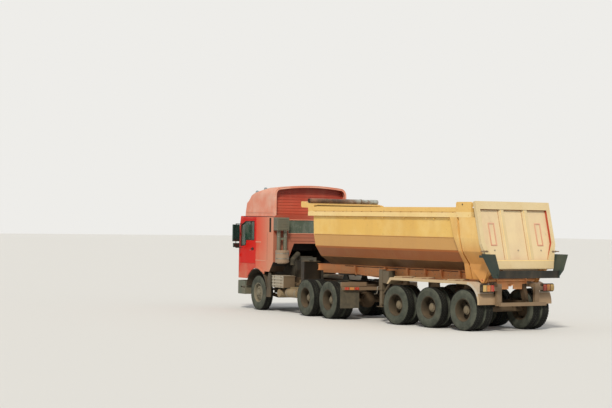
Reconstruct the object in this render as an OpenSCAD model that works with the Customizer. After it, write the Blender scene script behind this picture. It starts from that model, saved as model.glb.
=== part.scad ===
// Articulated tipper lorry: a high-roof forward-control 6x4 tractor and a
// three-axle semi-trailer with a U-shaped tipping body.
// Trailer pieces are drawn with x = 0 at the rearmost axle, x forward,
// y to the left and z = 0 on the road. Tractor pieces are drawn with
// x = 0 at the kingpin. Both are then placed in one frame.

/* [Wheels] */
// Outer radius of every tyre
tyre_r = 530; // [480:5:580]
// Radius at which tyre and rim meet
rim_r = 282; // [250:2:300]
// Section width of a twin tyre
twin_w = 278; // [240:2:300]
// Distance between the middles of two twin tyres
twin_pitch = 322; // [310:2:360]
// Section width of a steered tyre
front_w = 296; // [260:2:320]
// Distance from the centre plane to the middle of a twin pair
pair_y = 974; // [940:2:1000]
// Distance from the centre plane to the middle of a steered tyre
steer_y = 1035; // [1000:5:1060]
// Radius of a brake drum
drum_r = 205; // [180:5:230]
// Gap between a turning piece and the fixed piece beside it
run_gap = 1; // [0.5:0.5:3]

/* [Trailer frame] */
// Distance between trailer axles
axle_pitch = 1350; // [1310:10:1400]
// Distance from the rearmost axle to the kingpin
kingpin_x = 6070; // [5800:10:6400]
// Front end of the frame
neck_x = 7190; // [7000:10:7300]
// Height of the frame's top, on which the body rests
frame_top = 1500; // [1480:5:1520]
// Height of the main rails' lower edge
frame_low = 1190; // [1150:5:1220]
// Underside of the frame over the tractor
neck_low = 1311; // [1290:1:1340]
// Outer face of the main rails
rail_y = 490; // [440:5:520]
// Thickness of rail webs and flanges
rail_t = 12; // [8:1:20]
// Width of a rail's flange
flange_w = 130; // [100:5:160]
// Underside of the rubbing plate that rests on the fifth wheel
plate_low = 1250; // [1230:1:1270]
// Radius of the kingpin
kingpin_r = 25.4; // [20:0.1:30]

/* [Tipping body] */
// Half width over the top rails
body_y = 1275; // [1220:5:1290]
// Top of the side rails
rail_top = 3133; // [3000:1:3200]
// Underside of the side rails
rail_bottom = 2877; // [2800:1:2950]
// Depth of the side rails from outside to inside
top_rail_w = 95; // [70:5:120]
// Half width of the body under the rails
side_y = 1213; // [1180:1:1220]
// Upper crease: half width and height
crease_y = 1130; // [1100:5:1180]
// Height of the upper crease
crease_z = 2028; // [1950:1:2100]
// Half width at the lower crease
belly_y = 930; // [850:5:980]
// Height of the lower crease
belly_z = 1741; // [1700:1:1800]
// Height of the fold that runs along the side
fold_z = 2350; // [2250:5:2450]
// Half width at the fold along the side
fold_y = 1195; // [1170:1:1205]
// Half width of the flat floor
floor_y = 560; // [520:5:620]
// Underside of the floor
floor_z = 1516; // [1505:1:1540]
// Thickness of the body's plates
plate_t = 10; // [6:1:16]
// Front face of the body
front_x = 6480; // [6300:10:6520]
// Rear end of the body at the top of the gate
rear_x = -330; // [-380:5:-280]
// Lean of the rear end from the vertical
rear_lean = 14; // [0:1:20]
// Top of the gate and of the corner blocks
gate_top = 3270; // [3200:5:3300]
// Lower edge of the gate
gate_low = 1577; // [1540:1:1640]
// Thickness of the gate
gate_t = 90; // [60:5:100]
// Front end of the hood over the body's front
hood_x = 7010; // [6800:10:7050]

/* [Tipping gear] */
// Distance of the tipping hinge behind the rearmost axle
hinge_back = 380; // [340:10:420]
// Height of the tipping hinge
hinge_z = 1290; // [1260:5:1320]
// Radius of the tipping hinge's shaft
hinge_r = 42; // [35:1:55]
// Distance of the hoist's foot ahead of the rearmost axle
hoist_x = 7080; // [7000:10:7100]
// Height of the hoist's foot
hoist_z = 1400; // [1360:5:1420]
// Length of the closed hoist from pivot to pivot
hoist_len = 1560; // [1500:10:1600]
// Radius of the hoist's outer barrel
hoist_r = 108; // [104:1:120]

/* [Tractor] */
// Rest angle between tractor and trailer
articulation = -8.5; // [-20:0.5:20]
// Distance from the kingpin to the steered axle
steer_x = 3930; // [3800:10:4050]
// Half of the distance between the driven axles
bogie_half = 675; // [650:5:700]
// Outer face of the tractor's frame rails
tframe_y = 425; // [400:5:450]
// Top of the tractor's frame
tframe_top = 1030; // [1000:5:1060]
// Depth of the tractor's frame rails
tframe_h = 260; // [220:5:300]
// Rear end of the tractor's frame
tframe_rear = -1380; // [-1450:10:-1320]
// Front end of the tractor's frame
tframe_front = 5200; // [5100:10:5250]

/* [Cab] */
// Rear wall of the cab
cab_rear = 2800; // [2780:5:2900]
// Front of the cab
cab_front = 5290; // [5200:5:5320]
// Half width of the cab
cab_y = 1245; // [1200:5:1260]
// Underside of the cab's floor
cab_floor = 1290; // [1260:5:1320]
// Height where the raised roof starts
cab_top = 2845; // [2800:5:2900]
// Thickness of the cab's walls
cab_t = 40; // [30:1:60]
// Height of the raised roof at its front
roof_front_z = 3500; // [3400:5:3600]
// Height of the raised roof's crown at its rear
roof_rear_z = 3782; // [3700:1:3830]
// Radius of the raised roof's arched crown
crown_r = 7400; // [6000:100:9000]
// Radius of the raised roof's shoulders
shoulder_r = 190; // [120:5:260]
// Rear edge of a door
door_rear = 4010; // [3950:5:4100]
// Front edge of a door
door_front = 5080; // [5000:5:5100]
// Lower edge of a door
door_low = 1400; // [1380:5:1450]
// Upper edge of a door
door_top = 2760; // [2700:5:2790]
// Gap round a door
door_gap = 6; // [5:1:10]
// Height of the cab's tilting hinge
tilt_z = 960; // [940:5:980]
// Distance of the tilting hinge behind the cab's front
tilt_back = 40; // [35:5:60]

/* [Hidden] */
$fn = 48;
far = 20000;
seat = 0.3;
hinge_x = -hinge_back;
// Furthest points of the whole, for the middle of its footprint
nose_x = kingpin_x + 5479;
guard_rear = -1180;
frame_x = (nose_x + guard_rear) / 2;
frame_y = -423;

module place_trailer() {
    translate([-frame_x, -frame_y, 0]) children();
}

module place_tractor() {
    translate([kingpin_x - frame_x, -frame_y, 0]) rotate([0, 0, articulation]) children();
}

module both() {
    children();
    mirror([0, 1, 0]) children();
}

module block(x, y, z) {
    translate([x[0], y[0], z[0]]) cube([x[1] - x[0], y[1] - y[0], z[1] - z[0]]);
}

// A side outline of [x, z] points, from one y to another
module side_plate(y0, y1, points) {
    translate([0, y1, 0]) rotate([90, 0, 0]) linear_extrude(y1 - y0) polygon(points);
}

// A cross section of [y, z] points, from one x to another
module cross_plate(x0, x1, points) {
    translate([x0, 0, 0]) rotate([90, 0, 90]) linear_extrude(x1 - x0) polygon(points);
}

module rod_y(x, z, y0, y1, r) {
    translate([x, y0, z]) rotate([-90, 0, 0]) cylinder(r = r, h = y1 - y0);
}

module rod_x(y, z, x0, x1, r) {
    translate([x0, y, z]) rotate([0, 90, 0]) cylinder(r = r, h = x1 - x0);
}

module rod_z(x, y, z0, z1, r) {
    translate([x, y, z0]) cylinder(r = r, h = z1 - z0);
}

function flip(points) = [for (i = [len(points) - 1:-1:0]) [-points[i][0], points[i][1]]];
function closed(points) = concat(points, flip(points));

// Wheels, drawn about the y axis with the outer side towards +y

module tyre(y, w) {
    bead = w / 2 - 34;
    wall = w / 2;
    half = [[rim_r - 2, bead - 2], [rim_r + 26, wall - 18], [(rim_r + tyre_r) / 2 - 18, wall],
        [tyre_r - 62, wall - 8], [tyre_r - 26, wall - 26], [tyre_r - 6, wall - 52], [tyre_r, wall - 92]];
    translate([0, y, 0]) rotate([-90, 0, 0]) rotate_extrude($fn = 96)
        polygon(concat(half, [for (i = [len(half) - 1:-1:0]) [half[i][0], -half[i][1]]]));
}

// A rim whose disc lies at disc_y and whose dish is open towards +y
module dished_rim(y, w, disc_y) {
    bead = w / 2 - 34;
    translate([0, y, 0]) rotate([-90, 0, 0]) rotate_extrude($fn = 96)
        polygon([[rim_r, -bead], [rim_r + 22, -bead - 6], [rim_r + 22, -bead - 16],
            [rim_r - 6, -bead - 12], [rim_r - 24, -bead + 30], [rim_r - 24, bead - 30],
            [rim_r - 6, bead + 12], [rim_r + 22, bead + 16], [rim_r + 22, bead + 6], [rim_r, bead]]);
    difference() {
        translate([0, disc_y, 0]) rotate([-90, 0, 0]) rotate_extrude($fn = 96)
            polygon([[60, 0], [165, 0], [205, 22], [rim_r - 4, 44], [rim_r - 4, 56],
                [198, 34], [160, 12], [60, 12]]);
        for (i = [0:7]) rotate([0, i * 45, 0]) rod_y(222, 0, disc_y - 10, disc_y + 70, 26);
    }
}

hub_out = 205;

stub_r = 45;
stub_out = 60;
module twin_wheel() {
    half = twin_pitch / 2;
    difference() {
        union() {
            color("dimgray") tyre(half, twin_w);
            color("dimgray") tyre(-half, twin_w);
            color("tan") dished_rim(half, twin_w, 0);
            color("tan") mirror([0, 1, 0]) dished_rim(half, twin_w, 0);
            color("tan") rod_y(0, 0, -20, hub_out - 40, 98);
            color("tan") rod_y(0, 0, hub_out - 42, hub_out - 12, 82);
            color("gray") rod_y(0, 0, -170, -11, drum_r);
        }
        rod_y(0, 0, -171, stub_out, stub_r + 0.5);
    }
}

module front_wheel() {
    difference() {
        union() {
            color("dimgray") tyre(0, front_w);
            color("tan") mirror([0, 1, 0]) dished_rim(0, front_w, -96);
            color("tan") rod_y(0, 0, 60, 150, 98);
            color("gray") rod_y(0, 0, -80, 86, drum_r - 10);
        }
        rod_y(0, 0, -81, stub_out, stub_r + 0.5);
    }
}

module trailer_wheel(number, side) {
    x = (3 - number) * axle_pitch;
    place_trailer() translate([x, 0, tyre_r]) mirror([0, side, 0]) translate([0, pair_y, 0])
        rotate([0, number * 13, 0]) twin_wheel();
}

module drive_wheel(number, side) {
    x = number == 1 ? bogie_half : -bogie_half;
    place_tractor() translate([x, 0, tyre_r]) mirror([0, side, 0]) translate([0, pair_y, 0])
        rotate([0, number * 21, 0]) twin_wheel();
}

module steer_wheel(side) {
    place_tractor() translate([steer_x, 0, tyre_r]) mirror([0, side, 0])
        translate([0, steer_y, 0]) front_wheel();
}

// An axle tube with its brake back plates and a cam brake chamber at each end
drum_face = pair_y - 170;
module axle_beam(x, r) {
    rod_y(x, tyre_r, -drum_face + run_gap, drum_face - run_gap, r);
    rod_y(x, tyre_r, -pair_y - stub_out + run_gap, pair_y + stub_out - run_gap, stub_r);
    both() rod_y(x, tyre_r, drum_face - run_gap - 14, drum_face - run_gap, drum_r - 8);
    both() rod_x(560, tyre_r + 40, x + r - 20, x + r + 150, 62);
}

// Leaf spring: stacked plates, each shorter than the one above it
module leaf_pack(x, y, w, z, reach, leaves, t) {
    for (i = [0:leaves - 1]) {
        half = reach * (1 - 0.8 * i / leaves);
        block([x - half, x + half], [y - w / 2, y + w / 2], [z - (i + 1) * t, z - i * t]);
    }
}

// Trailer frame

// Outline of a main rail from the side
function rail_line(grow) = [[hinge_x - 50, frame_low + 40 + grow], [hinge_x + 120, frame_low + grow],
    [4434, frame_low + grow], [6124, neck_low + grow], [neck_x, neck_low + grow],
    [neck_x, frame_top - grow], [hinge_x + 60, frame_top - grow], [hinge_x - 50, frame_top - 90 - grow]];
outrigger_x = [950, 1700, 2350, 3100, 4045, 5400];

module trailer_rail() {
    side_plate(rail_y - rail_t, rail_y, rail_line(0));
    difference() {
        side_plate(rail_y - flange_w + 30, rail_y + 30, rail_line(0));
        side_plate(rail_y - flange_w, rail_y + 60, rail_line(rail_t));
    }
}

module trailer_frame() {
    color("orangered") place_trailer() {
        both() trailer_rail();
        for (x = [hinge_x + 90, 675, 2025, 3300, 4600, 5600, 6600])
            block([x - 40, x + 40], [-rail_y + rail_t, rail_y - rail_t], [frame_top - 230, frame_top - 60]);
        block([neck_x - 12, neck_x], [-rail_y, rail_y], [neck_low, frame_top]);
        block([hinge_x - 30, hinge_x - 14], [-rail_y + rail_t - 1, rail_y - rail_t + 1], [frame_low, frame_low + 50]);
        both() block([hinge_x - 30, hinge_x - 14], [80, spring_y - 62], [frame_low - 130, frame_low + 1]);
        difference() {
            block([5600, 6950], [-rail_y, rail_y], [plate_low, neck_low]);
            block([5640, 6910], [-rail_y + 30, rail_y - 30], [plate_low + 12, neck_low + 1]);
        }
        rod_z(kingpin_x, 0, plate_low - 84, plate_low + 40, kingpin_r);
        rod_z(kingpin_x, 0, plate_low + 1, plate_low + 12, 110);
        both() for (x = outrigger_x)
            translate([x - 35, 0, 0]) cross_plate(0, 70, [[rail_y - 1, frame_low + 20], [rail_y + 70, frame_top - 120],
                [rail_y + 70, frame_top - 20], [rail_y - 1, frame_top - 20]]);
        hinge_shaft();
        hoist_foot();
        tow_eye();
    }
}

module hinge_shaft() {
    difference() {
        rod_y(hinge_x, hinge_z, -960, 960, hinge_r);
        rod_y(hinge_x, hinge_z, -961, 961, hinge_r - 14);
    }
    both() block([hinge_x - 70, hinge_x + 70], [rail_y, rail_y + 24], [hinge_z - 90, hinge_z + 90]);
}

// Ears and pin that carry the hoist's foot
ear_gap = 114;
foot_pin_r = 35.5;
module hoist_foot() {
    both() side_plate(ear_gap, ear_gap + 25, [[hoist_x - 100, neck_low], [hoist_x + 100, neck_low],
        [hoist_x + 56, hoist_z + 56], [hoist_x - 56, hoist_z + 56]]);
    rod_y(hoist_x, hoist_z, -ear_gap - 40, ear_gap + 40, foot_pin_r);
    block([hoist_x - 150, neck_x - 1], [-rail_y + rail_t, rail_y - rail_t], [neck_low - 1, neck_low + 14]);
}

// A towing jaw under the frame's rear end, for a vertical pin
jaw_r = 25;
module tow_eye() {
    block([hinge_x + 50, hinge_x + 130], [-rail_y + rail_t, rail_y - rail_t], [frame_low, frame_low + 160]);
    difference() {
        union() {
            block([hinge_x - 60, hinge_x + 60], [-70, 70], [frame_low - 30, frame_low]);
            rod_z(hinge_x - 60, 0, frame_low - 30, frame_low, 70);
            block([hinge_x + 20, hinge_x + 130], [-70, 70], [frame_low - 60, frame_low + 20]);
        }
        rod_z(hinge_x - 60, 0, frame_low - 61, frame_low + 1, jaw_r);
    }
}

leg_x = 3727;
leg_y = 880;
leg_foot = 420;
module landing_legs() {
    color("dimgray") place_trailer() {
        both() {
            block([leg_x - 70, leg_x + 70], [leg_y - 70, leg_y + 70], [880, 1440]);
            block([leg_x - 52, leg_x + 52], [leg_y - 52, leg_y + 52], [leg_foot + 60, 900]);
            rod_y(leg_x, leg_foot + 50, leg_y - 75, leg_y + 75, 24);
            block([leg_x - 115, leg_x + 115], [leg_y - 105, leg_y + 105], [leg_foot, leg_foot + 14]);
            foot_ribs();
            block([leg_x - 60, leg_x + 60], [rail_y + seat, leg_y - 60], [1230, 1400]);
            block([leg_x - 340, leg_x - 71], [leg_y - 60, leg_y + 60], [1070, 1400]);
            translate([leg_x - 330, leg_y, 1075]) rotate([0, 136, 0]) translate([0, 0, -20]) cylinder(r = 22, h = 430);
        }
        rod_y(leg_x, 1120, -leg_y + 60, leg_y - 60, 24);
    }
}

module foot_ribs() {
    side_plate(leg_y - 55, leg_y - 40, [[leg_x - 60, leg_foot + 1], [leg_x + 60, leg_foot + 1], [leg_x, leg_foot + 90]]);
    side_plate(leg_y + 40, leg_y + 55, [[leg_x - 60, leg_foot + 1], [leg_x + 60, leg_foot + 1], [leg_x, leg_foot + 90]]);
}

spring_y = 455;
spring_top = 760;
leaf_reach = 490;
module trailer_axles() {
    color("saddlebrown") place_trailer() {
        for (n = [0:2]) {
            axle_beam(n * axle_pitch, 66);
            both() {
                leaf_pack(n * axle_pitch, spring_y, 76, spring_top, leaf_reach, 8, 16);
                block([n * axle_pitch - 80, n * axle_pitch + 80], [spring_y - 60, spring_y + 60],
                    [tyre_r - 40, spring_top - 127]);
            }
        }
        both() for (h = hangers) spring_hanger(h);
    }
}

// Hangers: lower edge from and to, upper edge from and to
hangers = [[-560, -430, -428, -250], [-leaf_reach + axle_pitch - 400 + 10, axle_pitch - leaf_reach + 30, 560, 790],
    [axle_pitch + leaf_reach - 30, 2 * axle_pitch - leaf_reach + 30, 1910, 2140],
    [2 * axle_pitch + leaf_reach - 30, 2 * axle_pitch + leaf_reach + 130, 3150, 3310]];
module spring_hanger(h) {
    difference() {
        side_plate(spring_y - 52, spring_y + 52, [[h[0], spring_top - 50], [h[1], spring_top - 50],
            [h[3], frame_low - seat], [h[2], frame_low - seat]]);
        block([h[0] - 1, h[1] + 1], [spring_y - 39, spring_y + 39], [spring_top - 60, spring_top + 30]);
    }
    for (x = [h[0] + 40, h[1] - 40]) rod_y(x, spring_top - 8, spring_y - 52, spring_y + 52, 14);
}

// Strip, front lip and curved rear end of the mudguard over three wheels
guard_y = 1252;
guard_in = 690;
guard_t = 8;
lip_h = 60;
strip_z = tyre_r * 2 + 185;
arc_x = 470 - tyre_r;
arc_z = tyre_r + 174;
arc_r = strip_z + guard_t - arc_z;
module trailer_mudguards() {
    front = 2 * axle_pitch;
    color("khaki") place_trailer() both() {
        side_plate(guard_in, guard_y, [[arc_x, strip_z], [front + 250, strip_z], [front + 380, strip_z - 170],
            [front + 390, strip_z - 166], [front + 256, strip_z + guard_t], [arc_x, strip_z + guard_t]]);
        guard_arc(guard_in, guard_t);
        guard_arc(guard_y - guard_t, lip_h + guard_t);
        side_plate(guard_y - guard_t, guard_y, [[arc_x, strip_z + guard_t], [arc_x, strip_z - lip_h], [front + 200, strip_z - lip_h],
            [front + 340, strip_z - 175], [front + 390, strip_z - 166], [front + 256, strip_z + guard_t]]);
        for (x = [axle_pitch / 2, axle_pitch * 1.5, axle_pitch * 2.1])
            rod_y(x, strip_z + 20, rail_y + seat, guard_y - lip_h, 22);
    }
}

// A quarter ring behind the rear wheel, from y0 to the outer edge
module guard_arc(y0, t) {
    intersection() {
        difference() {
            rod_y(arc_x, arc_z, y0, guard_y, arc_r);
            rod_y(arc_x, arc_z, y0 - 1, guard_y + 1, arc_r - t);
        }
        block([arc_x - arc_r - 1, arc_x + 0.01], [y0 - 2, guard_y + 2], [arc_z - 20, arc_z + arc_r + 1]);
    }
}

bar_x = -850;
bar_z = 655;
channel_x = -700;
channel_y = 577;
module underrun_frame() {
    color("tan") place_trailer() {
        block([bar_x - 50, bar_x + 30], [-790, 790], [bar_z, bar_z + 90]);
        both() {
            block([channel_x, channel_x + 80], [channel_y, channel_y + 148], [bar_z, frame_low + 20]);
            block([bar_x + 29, channel_x + 1], [channel_y + 20, channel_y + 128], [bar_z + 4, bar_z + 84]);
            block([channel_x + 79, hinge_x + 40], [channel_y, 680], [frame_low - 70, frame_low + 20]);
            block([hinge_x - 60, hinge_x + 40], [rail_y + 30 + seat, 680], [frame_low - 70, hinge_z - hinge_r - seat]);
            block([channel_x, channel_x + 60], [channel_y + 147, 1250], [1040, 1140]);
            block([-660, channel_x + 79], [830, 1250], [1000, 1208]);
        }
        both() for (i = [0:2])
            block([channel_x - 12, -659], [850 + i * 130, 965 + i * 130], [1020, 1190]);
    }
}

// Tipping hoist: base pivot and top pivot lie at one distance from the tipping hinge
foot_r = norm([hoist_x - hinge_x, hoist_z - hinge_z]);
foot_a = atan2(hoist_z - hinge_z, hoist_x - hinge_x);
closed_a = 2 * asin(hoist_len / 2 / foot_r);
eye_x = hinge_x + foot_r * cos(foot_a + closed_a);
eye_z = hinge_z + foot_r * sin(foot_a + closed_a);
hoist_tilt = atan2(eye_x - hoist_x, eye_z - hoist_z);
// The stages run out at one even rate, so the eye has a slot for how far it lags behind its pin
full_tilt = 45;
function hoist_reach(t) = 2 * foot_r * sin((closed_a + t) / 2);
stroke = hoist_reach(full_tilt) - hoist_len;
eye_slot = max([for (t = [0:3:full_tilt]) hoist_reach(t) - hoist_len - stroke * t / full_tilt]) + 3;

module along_hoist() {
    translate([hoist_x, 0, hoist_z]) rotate([0, hoist_tilt, 0]) children();
}

// A tube with a closed lower end
tube_end = 30;
module hoist_tube(r, t, z0, z1) {
    difference() {
        translate([0, 0, z0]) cylinder(r = r, h = z1 - z0);
        translate([0, 0, z0 + tube_end]) cylinder(r = r - t, h = z1 - z0);
    }
}

module slot_y(y, r) {
    for (z = [hoist_len, hoist_len + eye_slot]) rod_y(0, z, -y, y, r);
    block([-r, r], [-y, y], [hoist_len, hoist_len + eye_slot]);
}

stages = 5;
stage_pitch = 14;
barrel_low = 80;
module hoist_barrel() {
    color("slategray") place_trailer() along_hoist() difference() {
        union() {
            rod_y(0, 0, -ear_gap + 4, ear_gap - 4, 58);
            translate([0, 0, 30]) cylinder(r = hoist_r - 20, h = barrel_low - 20);
            hoist_tube(hoist_r, 8, barrel_low, hoist_len - 190);
            difference() {
                translate([0, 0, hoist_len - 230]) cylinder(r = hoist_r + 14, h = 40);
                translate([0, 0, hoist_len - 231]) cylinder(r = hoist_r - 8, h = 42);
            }
        }
        rod_y(0, 0, -ear_gap, ear_gap, foot_pin_r + 0.5);
    }
}

// Each stage stands on the closed end of the tube around it; the last is a rod with an eye
eye_r = 52;
eye_pin_r = 29.5;
module hoist_stage(n) {
    r = hoist_r - n * stage_pitch;
    z0 = barrel_low + n * (tube_end + seat);
    color("lightsteelblue") place_trailer() along_hoist() {
        if (n < stages) hoist_tube(r, 6, z0, hoist_len - 185 + 14 * n);
        else difference() {
            union() {
                translate([0, 0, z0]) cylinder(r = r, h = hoist_len - eye_r + 12 - z0);
                slot_y(60, eye_r);
            }
            slot_y(61, eye_pin_r + 0.5);
        }
    }
}

// Tipping body

outer_line = [[side_y, rail_bottom], [fold_y, fold_z], [crease_y, crease_z], [belly_y, belly_z], [floor_y, floor_z]];
inner_line = [[side_y - plate_t, far / 4], [side_y - plate_t, rail_bottom], [fold_y - plate_t, fold_z + 1], [crease_y - plate_t, crease_z + 2],
    [belly_y - plate_t, belly_z + plate_t * 0.8], [floor_y - plate_t / 2, floor_z + plate_t]];

// Everything behind the leaning rear plane, moved forward by gap
module behind_gate(gap) {
    translate([rear_x + gap, -far / 2, gate_top]) rotate([0, rear_lean, 0])
        translate([-far, 0, -far / 2]) cube([far, far, far]);
}

module body_tub() {
    color("khaki") place_trailer() {
        difference() {
            cross_plate(-1200, front_x, closed(outer_line));
            cross_plate(-1300, front_x - plate_t, closed(inner_line));
            behind_gate(0);
            hoist_pocket(pocket_y, 0);
        }
        difference() {
            hoist_pocket(pocket_y + plate_t, plate_t);
            hoist_pocket(pocket_y, 0);
            block([0, far], [-far, far], [0, floor_z]);
            block([front_x, far], [-far, far], [0, far]);
        }
        for (y = [-floor_y + 60, floor_y - 160])
            difference() {
                block([-700, front_x - 330], [y, y + 100], [runner_z, floor_z + 1]);
                behind_gate(10);
            }
        front_ribs();
        hoist_bracket();
        both() for (x = [1208, 4096]) side_hook(x);
    }
}

runner_z = floor_z - 16 + seat;
pocket_y = 95;
pocket_depth = 100;
// Wedge in the lower front wall that makes room for the leaning hoist
module hoist_pocket(y, grow) {
    side_plate(-y, y, [[front_x + 1, belly_z + 50 + grow * 3], [front_x + 1, floor_z - 40],
        [front_x - pocket_depth - grow - 20, floor_z - 40], [front_x - pocket_depth - grow, floor_z + 10]]);
}

module front_ribs() {
    for (z = [belly_z + 60, crease_z + 120, crease_z + 420, rail_bottom - 90])
        block([front_x - 1, front_x + 34], [-(z > crease_z ? crease_y : belly_y) + 20, (z > crease_z ? crease_y : belly_y) - 20], [z, z + 70]);
    both() block([front_x - 1, front_x + 34], [300, 380], [belly_z + 60, rail_bottom]);
    both() block([front_x - 300, front_x], [pocket_y, floor_y], [runner_z, floor_z + 1]);
}

// A small hook for the sheet's cords under the rail
module side_hook(x) {
    block([x - 30, x + 30], [side_y - 6, side_y + 8], [rail_bottom - 80, rail_bottom - 10]);
    block([x - 8, x + 8], [side_y + 7, side_y + 36], [rail_bottom - 62, rail_bottom - 48]);
    block([x - 8, x + 8], [side_y + 22, side_y + 36], [rail_bottom - 62, rail_bottom - 22]);
}

module hoist_bracket() {
    both() side_plate(64, 92, [[front_x, eye_z - 480], [eye_x + 50, eye_z - 60], [eye_x + 50, eye_z + 42],
        [eye_x - 30, eye_z + 52], [front_x + 30, rail_bottom - 20], [front_x, rail_bottom - 20]]);
    rod_y(eye_x, eye_z, -108, 108, eye_pin_r);
}

groove_z = (rail_top + rail_bottom) / 2;
module body_rails() {
    rail_in = body_y - top_rail_w;
    color("khaki") place_trailer() {
        both() difference() {
            cross_plate(297, front_x + 190, [[rail_in, rail_bottom], [body_y, rail_bottom], [body_y, groove_z - 12],
                [body_y - 14, groove_z - 5], [body_y - 14, groove_z + 5], [body_y, groove_z + 12],
                [body_y, rail_top], [rail_in, rail_top]]);
        }
        corner_blocks();
        hood();
    }
}

pin_x = 41;
pin_z = 3205;
pin_r = 22;
module corner_blocks() {
    both() difference() {
        side_plate(body_y - 60, body_y, [[-276, rail_bottom], [298, rail_bottom], [298, gate_top - 30],
            [260, gate_top], [-240, gate_top], [-276, gate_top - 30]]);
        rod_y(pin_x, pin_z, body_y - 61, body_y + 1, pin_r + 0.5);
    }
    both() difference() {
        block([-270, 298], [body_y - top_rail_w - 60, body_y - 59], [rail_bottom, pin_z - 90]);
        behind_gate(40);
    }
}

// The hood that juts forward over the front wall
module hood() {
    difference() {
        side_plate(-body_y, body_y, [[front_x - 60, rail_bottom], [front_x + 40, rail_bottom], [front_x + 190, rail_top - 30],
            [hood_x - 30, rail_top - 20], [hood_x, rail_top + 20], [hood_x, gate_top], [hood_x - 40, gate_top + 12],
            [front_x - 60, rail_top + 60]]);
        side_plate(-body_y + 30, body_y - 30, [[front_x - 61, rail_bottom - 1], [front_x + 20, rail_bottom - 1],
            [front_x + 170, rail_top + 5], [hood_x - 30, rail_top + 20], [hood_x - 30, gate_top - 14],
            [front_x - 61, rail_top + 34]]);
        block([front_x - 61, front_x + 10], [-side_y + 60, side_y - 60], [rail_bottom - 1, rail_top + 200]);
        block([eye_x - 100, eye_x + 100], [-100, 100], [eye_z, eye_z + eye_slot + eye_r + 12]);
    }
    block([front_x - 8, front_x + 30], [-body_y + 30, body_y - 30], [rail_bottom, rail_top + 20]);
}

// Side outlines of the front rib and of the rear panel, from the rails down
post_foot = hinge_z + 15;
front_rib = [[534, rail_bottom], [269, rail_bottom], [75, post_foot], [289, post_foot], [278, crease_z + 35],
    [374, fold_z - 26]];
rear_panel = [[181, rail_bottom], [rear_x - 100, rail_bottom], [rear_x - 460, belly_z - 140], [hinge_x - 60, hinge_z + 44],
    [hinge_x + 60, post_foot], [30, post_foot]];
rib_foot_y = 905;
rib_in = 60;
module body_posts() {
    color("goldenrod") place_trailer() both() difference() {
        union() {
            post_rib(front_rib);
            post_rib(rear_panel);
            hinge_plate();
        }
        cross_plate(-2000, 2000, concat([[0, rail_bottom + 500]], outer_line, [[0, floor_z]]));
        behind_gate(12);
        rod_y(hinge_x, hinge_z, 800, 1000, hinge_r + 0.5);
    }
}

// One pressed rib round the flank and down to the hinge, with the given side outline
module post_rib(outline) {
    depth = body_y - side_y;
    intersection() {
        cross_plate(-2000, 2000, [[side_y - rib_in, rail_bottom - seat], [body_y, rail_bottom - seat], [fold_y + depth, fold_z - 4],
            [crease_y + depth, crease_z - 12], [belly_y + depth * 0.8, belly_z - 40], [rib_foot_y, post_foot],
            [rib_foot_y - rib_in, post_foot], [belly_y - rib_in, belly_z - 150], [belly_y - rib_in, belly_z + 100]]);
        side_plate(0, far, outline);
    }
}

// Plates that reach down from the posts to the tipping hinge
module hinge_plate() {
    for (y = [846, 926])
        side_plate(y, y + 24, [[hinge_x - 62, hinge_z - 40], [hinge_x - 30, hinge_z - 68], [hinge_x + 30, hinge_z - 68],
            [hinge_x + 62, hinge_z - 40], [hinge_x + 480, belly_z - 110], [hinge_x + 480, belly_z + 60],
            [hinge_x - 240, belly_z + 60], [hinge_x - 200, belly_z - 200]]);
    side_plate(869, 927, [[hinge_x - 200, belly_z - 180], [hinge_x + 440, belly_z - 90], [hinge_x + 440, belly_z - 70],
        [hinge_x - 200, belly_z - 160]]);
}

// Half width over the posts between the creases
function post_side(z) = lookup(z, [[belly_z - 40, belly_y + (body_y - side_y) * 0.8], [crease_z - 12, crease_y + body_y - side_y]]);
guard_top = 1966;
guard_low = 1362;
guard_lean = 20;
wing_y = 1030;
module spill_guard() {
    color("darkslategray") place_trailer() {
        both() {
            difference() {
                translate([0, wing_y, guard_low]) rotate([-guard_lean, 0, 0]) translate([0, 0, -guard_low])
                    side_plate(0, 8, [[-870, guard_low], [-1060, guard_low], [guard_rear, guard_low + 220], [guard_rear, 2030],
                        [-660, 2030], [-740, 1760]]);
                block([-2000, 2000], [900, 1400], [guard_top, guard_top + 300]);
            }
            block([-720, -560], [1192, wing_y + (1900 - guard_low) * tan(guard_lean) + 4], [1870, 1930]);
            cross_plate(-650, -560, [[post_side(1870) + seat, 1870], [post_side(1930) + seat, 1930], [1200, 1930], [1200, 1870]]);
        }
        block([-1060, -1048], [-wing_y - 60, wing_y + 60], [guard_low, guard_low + 190]);
    }
}

// The rolled sheet lies on the sloping top of the hood
tarp_r = 68;
tarp_x = hood_x - 330;
hood_rise = (gate_top + 12 - rail_top - 60) / (hood_x - front_x + 20);
tarp_z = rail_top + 60 + hood_rise * (tarp_x - front_x + 60) + (tarp_r + seat) * sqrt(1 + hood_rise * hood_rise);
module tarp_roll() {
    color("sienna") place_trailer() rod_y(tarp_x, tarp_z, -body_y + 30, body_y - 30, tarp_r);
}

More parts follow.
